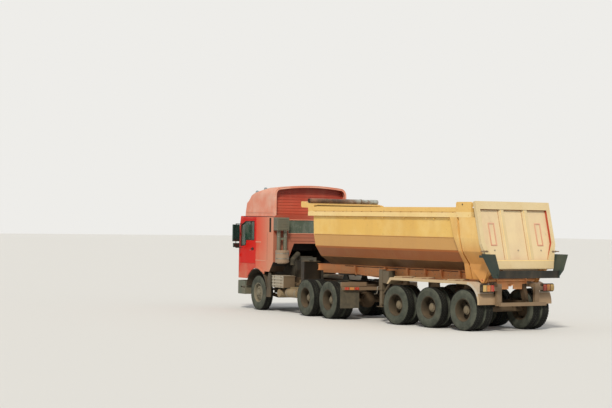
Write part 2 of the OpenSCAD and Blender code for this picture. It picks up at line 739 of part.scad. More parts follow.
// Tail gate, hung from the pins in the corner blocks
gate_line = [[body_y, gate_top], [body_y, 2200], [1075, gate_low]];
gate_edge = 128;
skin_t = 22;
bar_y = 405;
latch_z = 2010;
module tailgate() {
    function down(z) = (z - gate_top) / cos(rear_lean);
    half = [for (p = gate_line) [p[0], down(p[1])]];
    inner = [[body_y - gate_edge, down(gate_top - 200)], [body_y - gate_edge, down(2200 + 30)],
        [1075 - gate_edge + 20, down(gate_low + 225)]];
    color("wheat") place_trailer() {
        translate([rear_x - 8, 0, gate_top]) rotate([0, rear_lean, 0]) rotate([0, 0, 180]) {
            difference() {
                cross_plate(0, gate_t, closed(half));
                cross_plate(skin_t, gate_t + 1, closed(inner));
            }
            for (y = [-bar_y, bar_y]) gate_rib(y, down(gate_top - 198), down(gate_low + 223));
            for (y = [-800, 800]) {
                difference() {
                    cross_plate(skin_t - 1, skin_t + 16, gate_bar(y, 101, down(2741), down(2171)));
                    cross_plate(skin_t - 2, skin_t + 17, gate_bar(y, 76, down(2716), down(2196)));
                }
                translate([0, 0, down(2052)]) rod_x(y, 0, skin_t - 1, skin_t + 10, 22);
            }
            translate([0, 0, down(2052)]) rod_x(0, 0, skin_t - 1, skin_t + 10, 22);
            both() translate([0, 0, down(latch_z)]) rod_y(gate_t + 12, 0, 1110, body_y + 75, 14);
            both() for (y = [1130, 1225]) translate([0, 0, down(latch_z)])
                block([gate_t - 1, gate_t + 14], [y, y + 30], [-22, 22]);
        }
        both() gate_arm();
    }
}

// An upright rib of the gate with slanting flanks, wider at its foot
module gate_rib(y, z_top, z_foot) {
    translate([0, 0, z_foot]) linear_extrude(z_top - z_foot)
        polygon([[skin_t - 1, y - 100], [gate_t - 14, y - 58], [gate_t - 14, y + 58], [skin_t - 1, y + 100]]);
}

function gate_bar(y, half, z0, z1) = [[y - half, z0], [y + half, z0], [y + half, z1], [y - half, z1]];

module gate_arm() {
    y = body_y - 84;
    difference() {
        union() {
            side_plate(y, y + 23, [[rear_x - 20, pin_z - 60], [pin_x, pin_z - 48], [pin_x, pin_z + 48], [rear_x - 20, pin_z + 40]]);
            rod_y(pin_x, pin_z, y, y + 23, 48);
        }
        behind_gate(-20);
    }
    rod_y(pin_x, pin_z, y, body_y + 12, pin_r);
}

// Tractor

module tractor_rail() {
    z0 = tframe_top - tframe_h;
    block([tframe_rear, tframe_front], [tframe_y - 10, tframe_y], [z0, tframe_top]);
    block([tframe_rear, tframe_front], [tframe_y - 75, tframe_y], [z0, z0 + 10]);
    block([tframe_rear, tframe_front], [tframe_y - 75, tframe_y], [tframe_top - 10, tframe_top]);
}

tilt_x = cab_front - tilt_back;
tow_x = tframe_front + 150;
tow_z = 760;
tow_notch = 110;
module tractor_frame() {
    color("saddlebrown") place_tractor() {
        both() tractor_rail();
        for (x = [tframe_rear, -60, 1500, 2120, tframe_front - 270])
            block([x, x + 120], [-tframe_y + 10, tframe_y - 10], [tframe_top - 200, tframe_top - 40]);
        both() {
            side_plate(tframe_y - 60, tframe_y - 30, [[tframe_front - 260, tframe_top - 1], [tframe_front, tframe_top - 100],
                [tilt_x + 32, tilt_z - 34], [tilt_x + 32, tilt_z + 24], [tilt_x - 20, tilt_z + 32],
                [tframe_front - 200, tframe_top + 30]]);
            block([tframe_front - 1, tframe_front + 30], [tframe_y - 75, tframe_y], [tframe_top - 250, tframe_top - 130]);
        }
        rod_y(tilt_x, tilt_z, -tframe_y + 31, tframe_y - 31, 22);
        block([tframe_front, tframe_front + 40], [-tframe_y, tframe_y], [tow_z - 50, tow_z + 70]);
        difference() {
            block([tframe_front + 30, tow_x + 60], [-70, 70], [tow_z - 40, tow_z + 40]);
            rod_z(tow_x, 0, tow_z - 41, tow_z + 41, 20.5);
            block([tframe_front + 70, tow_x + 61], [-71, 71], [tow_z - 16, tow_z + 16]);
        }
    }
}

module fifth_wheel() {
    top = plate_low - run_gap;
    color("dimgray") place_tractor() {
        difference() {
            union() {
                rod_z(0, 0, top - 45, top, 450);
                block([-520, -60], [-230, 230], [top - 45, top]);
            }
            rod_z(0, 0, top - 100, top + 1, kingpin_r + 0.6);
            cross_rod_slot(top);
        }
        both() {
            side_plate(280, 320, [[-190, tframe_top + 22], [190, tframe_top + 22], [90, top - 44], [-90, top - 44]]);
            block([-330, 330], [tframe_y - 90, tframe_y + 10], [tframe_top + seat, tframe_top + 22]);
        }
        block([-230, 230], [-tframe_y - 10, tframe_y + 10], [tframe_top + seat, tframe_top + 22]);
    }
}

module cross_rod_slot(top) {
    translate([0, 0, top - 100]) linear_extrude(101) polygon([[-kingpin_r * 1.6, -18], [-kingpin_r * 1.6, 18],
        [-530, 150], [-530, -150]]);
}

module drive_axles() {
    color("saddlebrown") place_tractor() {
        for (x = [-bogie_half, bogie_half]) {
            axle_beam(x, 78);
            rod_x(0, tyre_r, x - 95, x + 95, 215);
            rod_x(0, tyre_r, x - 130, x + 130, 165);
            both() block([x - 90, x + 90], [tframe_y - 30, tframe_y + 70], [tyre_r - 30, tyre_r + 120]);
        }
        both() {
            for (i = [0:7]) block([-bogie_half - 90 + i * 70, bogie_half + 90 - i * 70], [tframe_y - 20, tframe_y + 60],
                [tyre_r + 119 - i * 18, tyre_r + 138 - i * 18]);
            side_plate(tframe_y + seat, tframe_y + 40, [[-180, tyre_r + 60], [180, tyre_r + 60], [120, tframe_top - 30], [-120, tframe_top - 30]]);
        }
        rod_y(0, tyre_r - 40, -tframe_y - 60, tframe_y + 60, 60);
        rod_x(0, tyre_r + 40, -bogie_half + 180, bogie_half - 180, 50);
        rod_x(0, tyre_r + 40, bogie_half + 180, cab_rear - 500 - seat, 50);
    }
}

king_y = 880;
module front_axle() {
    pad = 40;
    color("saddlebrown") place_tractor() {
        difference() {
            union() {
                cross_plate(steer_x - 45, steer_x + 45, closed([[460, tyre_r - 60], [king_y - 30, tyre_r + 55],
                    [king_y - 30, tyre_r - 55], [480, tyre_r - 160]]));
                both() rod_z(steer_x, king_y, tyre_r - 60, tyre_r + 60, 38);
            }
            both() rod_z(steer_x, king_y, tyre_r - 61, tyre_r + 61, 22.5);
        }
        both() {
            block([steer_x - 80, steer_x + 80], [tframe_y - pad - 40, tframe_y - pad + 40], [tyre_r - 90, tyre_r + 30]);
            leaf_pack(steer_x, tframe_y - pad, 76, tyre_r + 110, 800, 6, 16);
            for (x = [steer_x - 740, steer_x + 740])
                block([x - 60, x + 60], [tframe_y - pad - 34, tframe_y - pad + 34], [tyre_r + 105, tframe_top - tframe_h - seat]);
        }
    }
}

module engine_block() {
    color("slategray") place_tractor() {
        block([cab_rear + 250, cab_rear + 1850], [-tframe_y + 75 + seat, tframe_y - 75 - seat], [740, 1620]);
        block([cab_rear - 500, cab_rear + 251], [-200, 200], [500, 1250]);
        block([cab_rear + 2000, cab_rear + 2110], [-tframe_y + 75 + seat, tframe_y - 75 - seat], [780, 1700]);
        block([cab_rear + 1849, cab_rear + 2001], [-90, 90], [1000, 1180]);
        intake_hose();
    }
}

// The air hose from the engine's rear end towards the canister, as bars with round joints
hose_r = 72;
hose_line = [[cab_rear + 330, 240, 1560], [cab_rear + 200, 320, 1720], [cab_rear - 90, 480, 1715],
    [cab_rear - 300, 740, 1560], [cab_rear - 330, 760, 1400]];
module intake_hose() {
    for (i = [0:len(hose_line) - 2]) bar(hose_line[i], hose_line[i + 1], hose_r);
    for (i = [1:len(hose_line) - 2]) translate(hose_line[i]) sphere(r = hose_r + 5);
}

// A round bar between two points
module bar(a, b, r) {
    d = b - a;
    translate(a) rotate([0, acos(d[2] / norm(d)), atan2(d[1], d[0])]) cylinder(r = r, h = norm(d));
}

bumper_x = 5390;
step_x = 4680;
bumper_top = 860;
module front_bumper() {
    color("gray") place_tractor() {
        difference() {
            translate([0, 0, 450]) linear_extrude(bumper_top - 450) bumper_plan(0);
            translate([0, 0, 440]) linear_extrude(bumper_top - 430) bumper_plan(40);
            both() block([step_x - 10, step_x + 330], [1000, 1400], [640, 690]);
            both() block([bumper_x - 60, bumper_x + 60], [760, 1120], [600, 760]);
            block([bumper_x - 60, bumper_x + 60], [-260, 260], [640, 700]);
            block([tow_x - tow_notch, bumper_x + 60], [-tow_notch, tow_notch], [440, tow_z + 60]);
        }
        both() {
            block([step_x, step_x + 340], [980, 1240], [600, 640]);
            block([step_x, step_x + 30], [980, 1240], [450, bumper_top]);
            block([bumper_x - 70, bumper_x - 34], [740, 1140], [590, 770]);
            block([tframe_front + 40 + seat, bumper_x - 39], [tframe_y - 60, tframe_y - 10], [640, 760]);
        }
    }
}

module bumper_plan(t) {
    intersection() {
        union() {
            translate([step_x - (t > 0 ? 10 : 0), -cab_y + t]) square([bumper_x - t - 240 - step_x + 10, 2 * (cab_y - t)]);
            translate([step_x, -cab_y + 200 + t]) square([bumper_x - t - step_x, 2 * (cab_y - 200 - t)]);
            for (s = [-1, 1]) translate([bumper_x - 260, s * (cab_y - 260)]) circle(r = 260 - t);
        }
        translate([step_x - (t > 0 ? 10 : 0), -2000]) square([2000, 4000]);
    }
}

module tank_x(x0, x1, y, z, r) {
    rod_x(y, z, x0 + 20, x1 - 20, r);
    rod_x(y, z, x0, x1, r - 30);
}

module battery_box() {
    color("tan") place_tractor() {
        block([cab_rear - 560, cab_rear + 180], [790, 1170], [740, 1060]);
        block([cab_rear - 570, cab_rear + 190], [780, 1180], [1060, 1090]);
        for (x = [cab_rear - 400, cab_rear + 20]) {
            block([x, x + 40], [775, 1186], [736, 1096]);
            block([x, x + 40], [tframe_y + seat, 800], [800, 880]);
        }
    }
}

module air_tanks() {
    color("dimgray") place_tractor() {
        tank_x(1510, 2230, 1000, 595, 130);
        tank_x(1510, 2230, 690, 595, 130);
        for (x = [1640, 2060]) {
            block([x, x + 50], [tframe_y + seat, 1000], [700, 770]);
            block([x, x + 50], [tframe_y + seat, tframe_y + 30], [700, 960]);
        }
        rod_y(2560, 570, 560, 1150, 120);
        block([2530, 2590], [tframe_y + seat, 640], [640, 700]);
        block([2530, 2590], [tframe_y + seat, tframe_y + 30], [640, 960]);
        block([2530, 2590], [1000, 1040], [600, 740 - seat]);
    }
}

module fuel_tank() {
    color("silver") place_tractor() {
        translate([1550, -1190, 520]) rotate([90, 0, 90]) linear_extrude(1440) rounded(640, 600, 90);
        for (x = [1730, 2240, 2750]) {
            block([x, x + 60], [-tframe_y - 130, -tframe_y - seat], [790, 960]);
            translate([x, -1196, 514]) rotate([90, 0, 90]) linear_extrude(60) difference() {
                rounded(652, 612, 94);
                translate([6.3, 6.3]) rounded(639.4, 599.4, 90);
            }
        }
        rod_z(2000, -900, 1119, 1160, 60);
    }
}

module rounded(w, h, r) {
    translate([r, 0]) square([w - 2 * r, h]);
    translate([0, r]) square([w, h - 2 * r]);
    for (x = [r, w - r], y = [r, h - r]) translate([x, y]) circle(r = r);
}

module hydraulic_tank() {
    color("sienna") place_tractor() {
        block([1290, 1490], [tframe_y + seat, 980], [tframe_top - 200, 1540]);
        block([1280, 1500], [tframe_y + 10, 990], [1540, 1552]);
        rod_z(1390, 700, 1550, 1590, 50);
    }
}

module rear_lamp_bar() {
    color("tan") place_tractor() {
        block([tframe_rear - 60, tframe_rear - seat], [-1180, 1180], [830, 920]);
        both() for (y = [700, 860, 1020]) block([tframe_rear - 90, tframe_rear - 59], [y, y + 120], [840, 910]);
        both() block([tframe_rear - 20, tframe_rear + 40], [tframe_y + seat, 1220], [940, 1050]);
        both() block([tframe_rear - 10, tframe_rear + 10], [650, 1240], [330, 941]);
    }
}

// Panels behind the steered wheels, carried by the frame
module mud_panels() {
    color("saddlebrown") place_tractor() both() {
        side_plate(1180, 1210, [[steer_x - 640, 430], [cab_rear + 220, 430], [cab_rear + 220, 1130], [steer_x - 800, 1180],
            [steer_x - 690, 1000]]);
        block([cab_rear + 260, cab_rear + 320], [tframe_y + seat, 1181], [900, 980]);
    }
}

// Steering knuckle, drawn at the left wheel
module knuckle(side) {
    color("dimgray") place_tractor() translate([steer_x, 0, tyre_r]) mirror([0, side, 0]) {
        rod_z(0, king_y, -105, 105, 22);
        for (z = [66, -104]) block([-40, 40], [king_y - 40, 948], [z, z + 38]);
        block([-60, 60], [924, 948], [-104, 104]);
        rod_y(0, 0, 940, steer_y - 80 - run_gap, 185);
        rod_y(0, 0, 941, steer_y + stub_out - run_gap, stub_r);
        block([-230, -38], [king_y - 30, king_y], [-100, -70]);
    }
}

// Cab

roof_line = [[cab_rear, cab_top], [cab_rear, roof_rear_z], [cab_rear + 320, roof_rear_z - 32],
    [cab_front - 1150, roof_front_z + 58], [cab_front - 900, roof_front_z - 30], [cab_front - 720, roof_front_z - 190],
    [cab_front - 590, cab_top + 400], [cab_front - 510, cab_top + 125], [cab_front - 490, cab_top]];
cab_line = [[cab_rear, cab_floor + 190], [cab_rear + 250, cab_floor - 100], [steer_x - 560, cab_floor - 100],
    [steer_x - 520, cab_floor], [steer_x + 600, cab_floor], [steer_x + 690, 940], [cab_front - 20, 940],
    [cab_front, 1000], [cab_front, 1650], [cab_front - 90, 2300], [cab_front - 240, cab_top], [cab_rear, cab_top]];
window_line = [[door_rear + 90, 2120], [door_rear + 650, 2120], [door_rear + 690, 1960], [door_front - 40, 1930],
    [door_front - 60, 2560], [door_rear + 700, 2680], [door_rear + 90, 2690]];
cab_r = 150;

module cab_plan(t) {
    translate([cab_rear + t, -cab_y + t]) square([cab_front - cab_rear - cab_r - t, 2 * (cab_y - t)]);
    translate([cab_rear + t, -cab_y + cab_r]) square([cab_front - cab_rear - 2 * t, 2 * (cab_y - cab_r)]);
    for (s = [-1, 1]) translate([cab_front - cab_r, s * (cab_y - cab_r)]) circle(r = cab_r - t);
}

// The cab's solid form, with its walls moved in by t
module cab_form(t) {
    intersection() {
        side_plate(-cab_y + t, cab_y - t, [for (p = cab_line) [p[0] + (p[0] < cab_rear + 1 ? t : p[0] > cab_front - 300 ? -t : 0),
            p[1] + (p[1] < cab_floor + 200 ? t : p[1] > cab_top - 1 ? -t : 0)]]);
        translate([0, 0, 500]) linear_extrude(4000) cab_plan(t);
    }
}

tunnel_y = 600;
tunnel_top = 1850;
// The tunnel's flared rear part, open at the rear wall
flare = [[560, 2041], [781, 1480], [781, 0]];
flare_t = 30;
flare_end = cab_rear + 600;
arch_r = 740;
function grown(points, g) = [for (p = points) [p[0] + g, p[1] + (p[1] > 1500 ? g : 0)]];
function door_shape(g) = [[door_rear + g, door_low + g], [door_front - g, door_low + g], [door_front - g, 2420],
    [door_front - 130 - g, door_top - g], [door_rear + g, door_top - g]];

// The floor pan and the walls on it meet at the top of the floor
floor_top = cab_floor + 70;
module cab_floor_pan() {
    color("indianred") place_tractor() intersection() {
        cab_body();
        block([0, far], [-far, far], [0, floor_top]);
    }
}

module cab_shell() {
    color("indianred") place_tractor() difference() {
        cab_body();
        block([0, far], [-far, far], [0, floor_top]);
    }
}

module cab_body() {
    union() {
        difference() {
            cab_form(0);
            difference() {
                cab_form(cab_t);
                block([cab_rear, cab_front - 170], [-tunnel_y, tunnel_y], [0, tunnel_top]);
                cross_plate(cab_rear, flare_end + flare_t, closed(grown(flare, flare_t)));
                block([cab_rear, cab_front], [-far, far], [0, floor_top]);
            }
            block([cab_rear - 10, cab_front - 200], [-tunnel_y + 30, tunnel_y - 30], [0, tunnel_top - 30]);
            cross_plate(cab_rear - 10, flare_end, closed(flare));
            block([steer_x + 500, cab_front - 40], [-cab_y + 40, cab_y - 40], [900, cab_floor + 30]);
            block([cab_front - 60, cab_front + 10], [-tframe_y - 15, tframe_y + 15], [900, tilt_z + 42]);
            both() side_plate(cab_y - cab_t - 5, cab_y + 5, door_shape(0));
            translate([steer_x, 0, tyre_r]) rotate([90, 0, 0]) cylinder(r = arch_r, h = 4000, center = true, $fn = 96);
            both() block([2955, 3075], [cab_y - 22, cab_y + 1], [2372, 2796]);
            rear_window(0);
            screen(0);
            block([cab_rear + 60, cab_front - 480], [-cab_y + 120, cab_y - 120], [cab_top - cab_t - 5, cab_top + 5]);
            for (i = [0:3]) block([cab_front - 60, cab_front + 10], [-700, 700], [1080 + i * 110, 1150 + i * 110]);
        }
        both() tilt_ear();
        for (z = [2117, 2219]) block([cab_rear - 14, cab_rear + 1], [-cab_y + 120, intake_in - 40], [z, z + 26]);
        tunnel_bead();
        both() arch_lip();
        both() for (z = door_hinge_z) hinge_leaf(z);
    }
}

// A raised bead round the tunnel's mouth in the rear wall
module tunnel_bead() {
    intersection() {
        difference() {
            cross_plate(cab_rear - 16, cab_rear + 1, closed(grown(flare, 34)));
            cross_plate(cab_rear - 17, cab_rear + 2, closed(flare));
        }
        block([cab_rear - 20, cab_rear + 2], [-cab_y, cab_y], [cab_floor + 200, far]);
    }
}

// A flared lip round the wheel's arch, on the cab's lower side
module arch_lip() {
    intersection() {
        translate([steer_x, 0, tyre_r]) difference() {
            rod_y(0, 0, cab_y - 2, cab_y + 16, arch_r + 46);
            rod_y(0, 0, cab_y - 3, cab_y + 17, arch_r);
        }
        side_plate(cab_y - 3, cab_y + 17, [[steer_x - 560, cab_floor - 95], [steer_x + 640, 1010], [steer_x + 640, door_low - 8],
            [door_rear - 20, door_low - 8], [steer_x - 560, door_low + 20]]);
    }
}

// Door hinges: a pin on the cab, a barrel above and below on the door
door_hinge_z = [1640, 2290];
door_pin_x = door_front - 3;
door_pin_y = cab_y + 13;
door_pin_r = 6;
door_barrel_r = 11;
module hinge_leaf(z) {
    block([door_pin_x, door_front + 60], [cab_y - 1, cab_y + 10], [z - 20, z + 20]);
    rod_z(door_pin_x, door_pin_y, z - 20, z + 20, door_barrel_r);
    rod_z(door_pin_x, door_pin_y, z - 46, z + 46, door_pin_r);
}

module hinge_barrel(z0, z1) {
    difference() {
        union() {
            block([door_pin_x - 60, door_pin_x], [cab_y - 1, cab_y + 10], [z0, z1]);
            rod_z(door_pin_x, door_pin_y, z0, z1, door_barrel_r);
        }
        rod_z(door_pin_x, door_pin_y, z0 - 1, z1 + 1, door_pin_r + 0.5);
    }
}

module tilt_ear() {
    difference() {
        side_plate(tframe_y - 125, tframe_y - 85, [[cab_front - 200, 1300], [cab_front - 30, 1300],
            [tilt_x + 34, tilt_z], [tilt_x + 20, tilt_z - 34], [tilt_x - 20, tilt_z - 34], [tilt_x - 40, tilt_z]]);
        rod_y(tilt_x, tilt_z, 0, tframe_y, 22.5);
    }
}

module rear_window(g) {
    block([cab_rear - 20, cab_rear + cab_t + 20], [-760 + g, 760 - g], [2335 + g, 2744 - g]);
}

// Windscreen opening in the leaning upper front
module screen(g) {
    intersection() {
        cross_plate(cab_front - 400, cab_front + 50, closed([[1060 - g, 2700 - g], [1110 - g, 1800 + g]]));
        side_plate(-2000, 2000, [[cab_front + 60, 1700], [cab_front + 60, 2800], [cab_front - 300, 2800],
            [cab_front - 60 - cab_t, 1700]]);
    }
}

roof_y = cab_y - 30;
recess_t = 62;
recess_x = 170;
module cab_roof() {
    color("indianred") place_tractor() {
        difference() {
            roof_form(0);
            roof_form(30);
            intersection() {
                roof_form(recess_t);
                block([cab_rear - 10, cab_rear + recess_x + 1], [-cab_y, cab_y], [cab_top + 42, far]);
            }
            translate([cab_rear - 20 - recess_t, 0, 0]) intersection() {
                roof_section(recess_t, 200);
                block([0, 200], [-cab_y, cab_y], [cab_top + 42, far]);
            }
        }
        intersection() {
            roof_form(29);
            block([cab_rear + recess_x, cab_rear + recess_x + 30], [-cab_y, cab_y], [cab_top, far]);
        }
        side_bead();
    }
}

// The roof's arched cross section with its edges moved in by t
module roof_section(t, length) {
    rotate([90, 0, 90]) linear_extrude(length) intersection() {
        translate([0, roof_rear_z - crown_r]) circle(r = crown_r - t, $fn = 720);
        union() {
            translate([-roof_y + t, cab_top - (t > 0 ? 5 : 0)]) square([2 * (roof_y - t), roof_rear_z - 280 - cab_top]);
            for (s = [-1, 1]) translate([s * (roof_y - shoulder_r - 40), roof_rear_z - 290]) circle(r = shoulder_r + 40 - t, $fn = 96);
            translate([-roof_y + shoulder_r + 40, cab_top]) square([2 * (roof_y - shoulder_r - 40), 2000]);
        }
    }
}

// The moulded flange along the roof's foot
module side_bead() {
    both() block([cab_rear + 30, cab_front - 560], [roof_y - 1, roof_y + 12], [cab_top + 108, cab_top + 130]);
}

module roof_form(t) {
    intersection() {
        side_plate(-cab_y, cab_y, [for (p = roof_line) [p[0] + (p[0] < cab_rear + 100 ? t : -t),
            p[1] < cab_top + 1 ? cab_top - (t > 0 ? 5 : 0) : p[1] - t]]);
        translate([cab_rear - 10, 0, 0]) roof_section(t, cab_front - cab_rear);
    }
}

module cab_glass() {
    color("teal") place_tractor() {
        intersection() {
            screen(seat);
            difference() {
                cab_form(8);
                cab_form(16);
            }
        }
        block([cab_rear + 10, cab_rear + 16], [-760 + seat, 760 - seat], [2335 + seat, 2744 - seat]);
    }
}

module cab_interior() {
    color("black") place_tractor() {
        block([cab_front - 520, cab_front - 150], [-cab_y + 60, cab_y - 60], [tunnel_top + seat, tunnel_top + 110]);
        both() seat_form();
        block([cab_rear + cab_t + seat, cab_rear + 640], [-cab_y + cab_t + 10, cab_y - cab_t - 10], [flare[0][1] + flare_t + seat, flare[0][1] + 150]);
        steering_wheel();
        block([cab_front - 580, cab_front - 500], [840, 920], [tunnel_top - 100, tunnel_top + 60]);
    }
}

module seat_form() {
    base = floor_top + seat;
    block([cab_rear + 1250, cab_rear + 1700], [700, 1120], [base, base + 200]);
    block([cab_rear + 1200, cab_rear + 1720], [670, 1150], [base + 199, base + 330]);
    block([cab_rear + 1150, cab_rear + 1290], [670, 1150], [base + 300, base + 950]);
}

module steering_wheel() {
    translate([cab_front - 640, 880, tunnel_top + 90]) rotate([0, -25, 0]) {
        rotate_extrude() translate([230, 0]) circle(r = 16);
        cylinder(r = 50, h = 30, center = true);
        for (a = [0, 120, 240]) rotate([0, 0, a]) translate([0, -14, -8]) cube([232, 28, 16]);
        translate([0, 0, -210]) cylinder(r = 30, h = 200);
    }
}

intake_in = 850;
intake_mid = cab_rear - 130;
canister_r = 205;
canister_y = cab_y - canister_r + 10;
duct_r = 56;
module intake_stack() {
    color("gray") place_tractor() {
        block([cab_rear - 260, cab_rear - seat], [intake_in, cab_y], [2430, 2815]);
        for (i = [0:6]) {
            block([cab_rear - 272, cab_rear - 259], [intake_in + 24, cab_y - 24], [2470 + i * 48, 2494 + i * 48]);
            block([cab_rear - 236, cab_rear - 24], [cab_y - 1, cab_y + 10], [2470 + i * 48, 2494 + i * 48]);
        }
        for (y = [920, 1132]) rod_z(intake_mid, y, 1830, 2431, duct_r);
        rod_z(intake_mid - 90, canister_y, 1470, 1840, canister_r);
        rod_z(intake_mid - 90, canister_y, 1500, 1520, canister_r + 8);
        rod_z(intake_mid - 90, canister_y, 1790, 1810, canister_r + 8);
        rod_z(intake_mid - 90, canister_y, 1440, 1471, canister_r - 60);
        for (z = [1620, 2150]) block([intake_mid, cab_rear - seat], [1000, 1060], [z, z + 60]);
        block([intake_mid - 30, intake_mid + 30], [920, 1132], [2150, 2210]);
    }
}

module door(side) {
    color("firebrick") place_tractor() mirror([0, side, 0]) {
        difference() {
            intersection() {
                cab_form(0);
                side_plate(cab_y - cab_t, cab_y + 5, door_shape(door_gap));
            }
            side_plate(cab_y - 100, cab_y + 10, window_line);
        }
        side_plate(cab_y, cab_y + 22, [[door_rear + 120, 1830], [door_rear + 290, 1830], [door_rear + 290, 1870], [door_rear + 120, 1870]]);
        for (z = door_hinge_z) {
            hinge_barrel(z + 20 + seat, z + 46);
            hinge_barrel(z - 46, z - 20 - seat);
        }
        mirror_arms();
    }
}

module mirror_arms() {
    x = door_front - 100;
    for (z = [1870, 2600]) rod_y(x, z, cab_y - 20, cab_y + 210, 12);
    rod_z(x, cab_y + 200, 1860, 2610, 12);
    translate([x - 30, cab_y + 90, 2060]) cube([60, 220, 520]);
    translate([x - 30, cab_y + 90, 1880]) cube([50, 200, 130]);
}

module door_glass(side) {
    color("teal") place_tractor() mirror([0, side, 0])
        side_plate(cab_y - 22, cab_y - 16, window_line);
}

trailer_frame();
landing_legs();
trailer_axles();
trailer_mudguards();
underrun_frame();
hoist_barrel();
hoist_stage(1);  // hoist_stage_1
hoist_stage(2);  // hoist_stage_2
hoist_stage(3);  // hoist_stage_3
hoist_stage(4);  // hoist_stage_4
hoist_stage(5);  // hoist_stage_5
body_tub();
body_rails();
body_posts();
spill_guard();
tarp_roll();
tailgate();
trailer_wheel(1, 0);  // wheel_t1_left
trailer_wheel(1, 1);  // wheel_t1_right
trailer_wheel(2, 0);  // wheel_t2_left
trailer_wheel(2, 1);  // wheel_t2_right
trailer_wheel(3, 0);  // wheel_t3_left
trailer_wheel(3, 1);  // wheel_t3_right
tractor_frame();
fifth_wheel();
drive_axles();
front_axle();
engine_block();
front_bumper();
battery_box();
air_tanks();
fuel_tank();
hydraulic_tank();
rear_lamp_bar();
mud_panels();
knuckle(0);  // knuckle_left
knuckle(1);  // knuckle_right
steer_wheel(0);  // wheel_s_left
steer_wheel(1);  // wheel_s_right
drive_wheel(1, 0);  // wheel_d1_left
drive_wheel(1, 1);  // wheel_d1_right
drive_wheel(2, 0);  // wheel_d2_left
drive_wheel(2, 1);  // wheel_d2_right
cab_floor_pan();
cab_shell();
cab_roof();
cab_glass();
cab_interior();
intake_stack();
door(0);  // door_left
door(1);  // door_right
door_glass(0);  // door_glass_left
door_glass(1);  // door_glass_right
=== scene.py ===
"""Looks of an articulated tipper lorry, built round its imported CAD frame."""

import logging
import math
from dataclasses import dataclass, field
from enum import Enum

import bpy
from mathutils import Matrix, Vector


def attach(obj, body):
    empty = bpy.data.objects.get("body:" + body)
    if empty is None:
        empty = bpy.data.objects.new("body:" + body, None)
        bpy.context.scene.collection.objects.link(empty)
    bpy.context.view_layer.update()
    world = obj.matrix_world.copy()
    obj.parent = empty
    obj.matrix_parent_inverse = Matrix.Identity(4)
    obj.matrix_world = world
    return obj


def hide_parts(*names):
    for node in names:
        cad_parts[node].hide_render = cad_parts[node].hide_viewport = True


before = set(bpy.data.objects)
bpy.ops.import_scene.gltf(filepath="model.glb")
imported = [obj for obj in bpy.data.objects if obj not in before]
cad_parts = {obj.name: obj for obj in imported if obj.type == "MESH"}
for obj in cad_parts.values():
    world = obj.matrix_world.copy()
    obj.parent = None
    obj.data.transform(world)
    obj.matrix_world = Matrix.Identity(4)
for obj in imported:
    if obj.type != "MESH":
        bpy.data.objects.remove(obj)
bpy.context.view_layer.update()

logging.basicConfig(level=logging.INFO, format="%(message)s")
log = logging.getLogger("tipper")

Colour = tuple[float, float, float]
Point = tuple[float, float, float]
Span = tuple[Point, Point]
Flat = tuple[float, float]
Object = bpy.types.Object


def srgb(red: int, green: int, blue: int) -> Colour:
    """Turn a colour as seen on a screen into the linear one that shaders use.

    Args:
        red: Red from 0 to 255.
        green: Green from 0 to 255.
        blue: Blue from 0 to 255.

    Returns:
        The three linear values.
    """
    out = []
    for value in (red, green, blue):
        share = value / 255.0
        out.append(share / 12.92 if share <= 0.04045 else ((share + 0.055) / 1.055) ** 2.4)
    return (out[0], out[1], out[2])


def shift(x: float, y: float, z: float) -> Matrix:
    """Give a move."""
    return Matrix.Translation((x, y, z))


def turn(degrees: float, axis: str) -> Matrix:
    """Give a turn about an axis through the origin."""
    return Matrix.Rotation(math.radians(degrees), 4, axis)


def upright(x: float, y: float, z: float) -> Matrix:
    """Give the move that stands a lathed piece up at a place."""
    return shift(x, y, z) @ turn(90.0, "X")


# Where the frame's origin, the kingpin and the gate lie, in the trailer's own metres and degrees

ORIGIN_X = 5.1845
ORIGIN_Y = -0.423
KINGPIN = 6.07
REST_TURN = -8.5
GATE_TOP = (-0.338, 0.0, 3.27)
GATE_LEAN = 14.0


class Datum(Enum):
    """What a piece's own numbers are measured from."""

    TRAILER = "trailer"
    TRACTOR = "tractor"
    GATE = "gate"

    def matrix(self) -> Matrix:
        """Give the move from this datum to the row frame.

        Returns:
            The move.
        """
        home = shift(-ORIGIN_X, -ORIGIN_Y, 0.0)
        if self is Datum.TRAILER:
            return home
        if self is Datum.GATE:
            return home @ shift(*GATE_TOP) @ turn(GATE_LEAN, "Y") @ turn(180.0, "Z")
        return home @ shift(KINGPIN, 0.0, 0.0) @ turn(REST_TURN, "Z")


TRAILER, TRACTOR, GATE = Datum.TRAILER, Datum.TRACTOR, Datum.GATE


# Finishes


class Operation(Enum):
    """How two values are combined."""

    ADD = "ADD"
    MULTIPLY = "MULTIPLY"


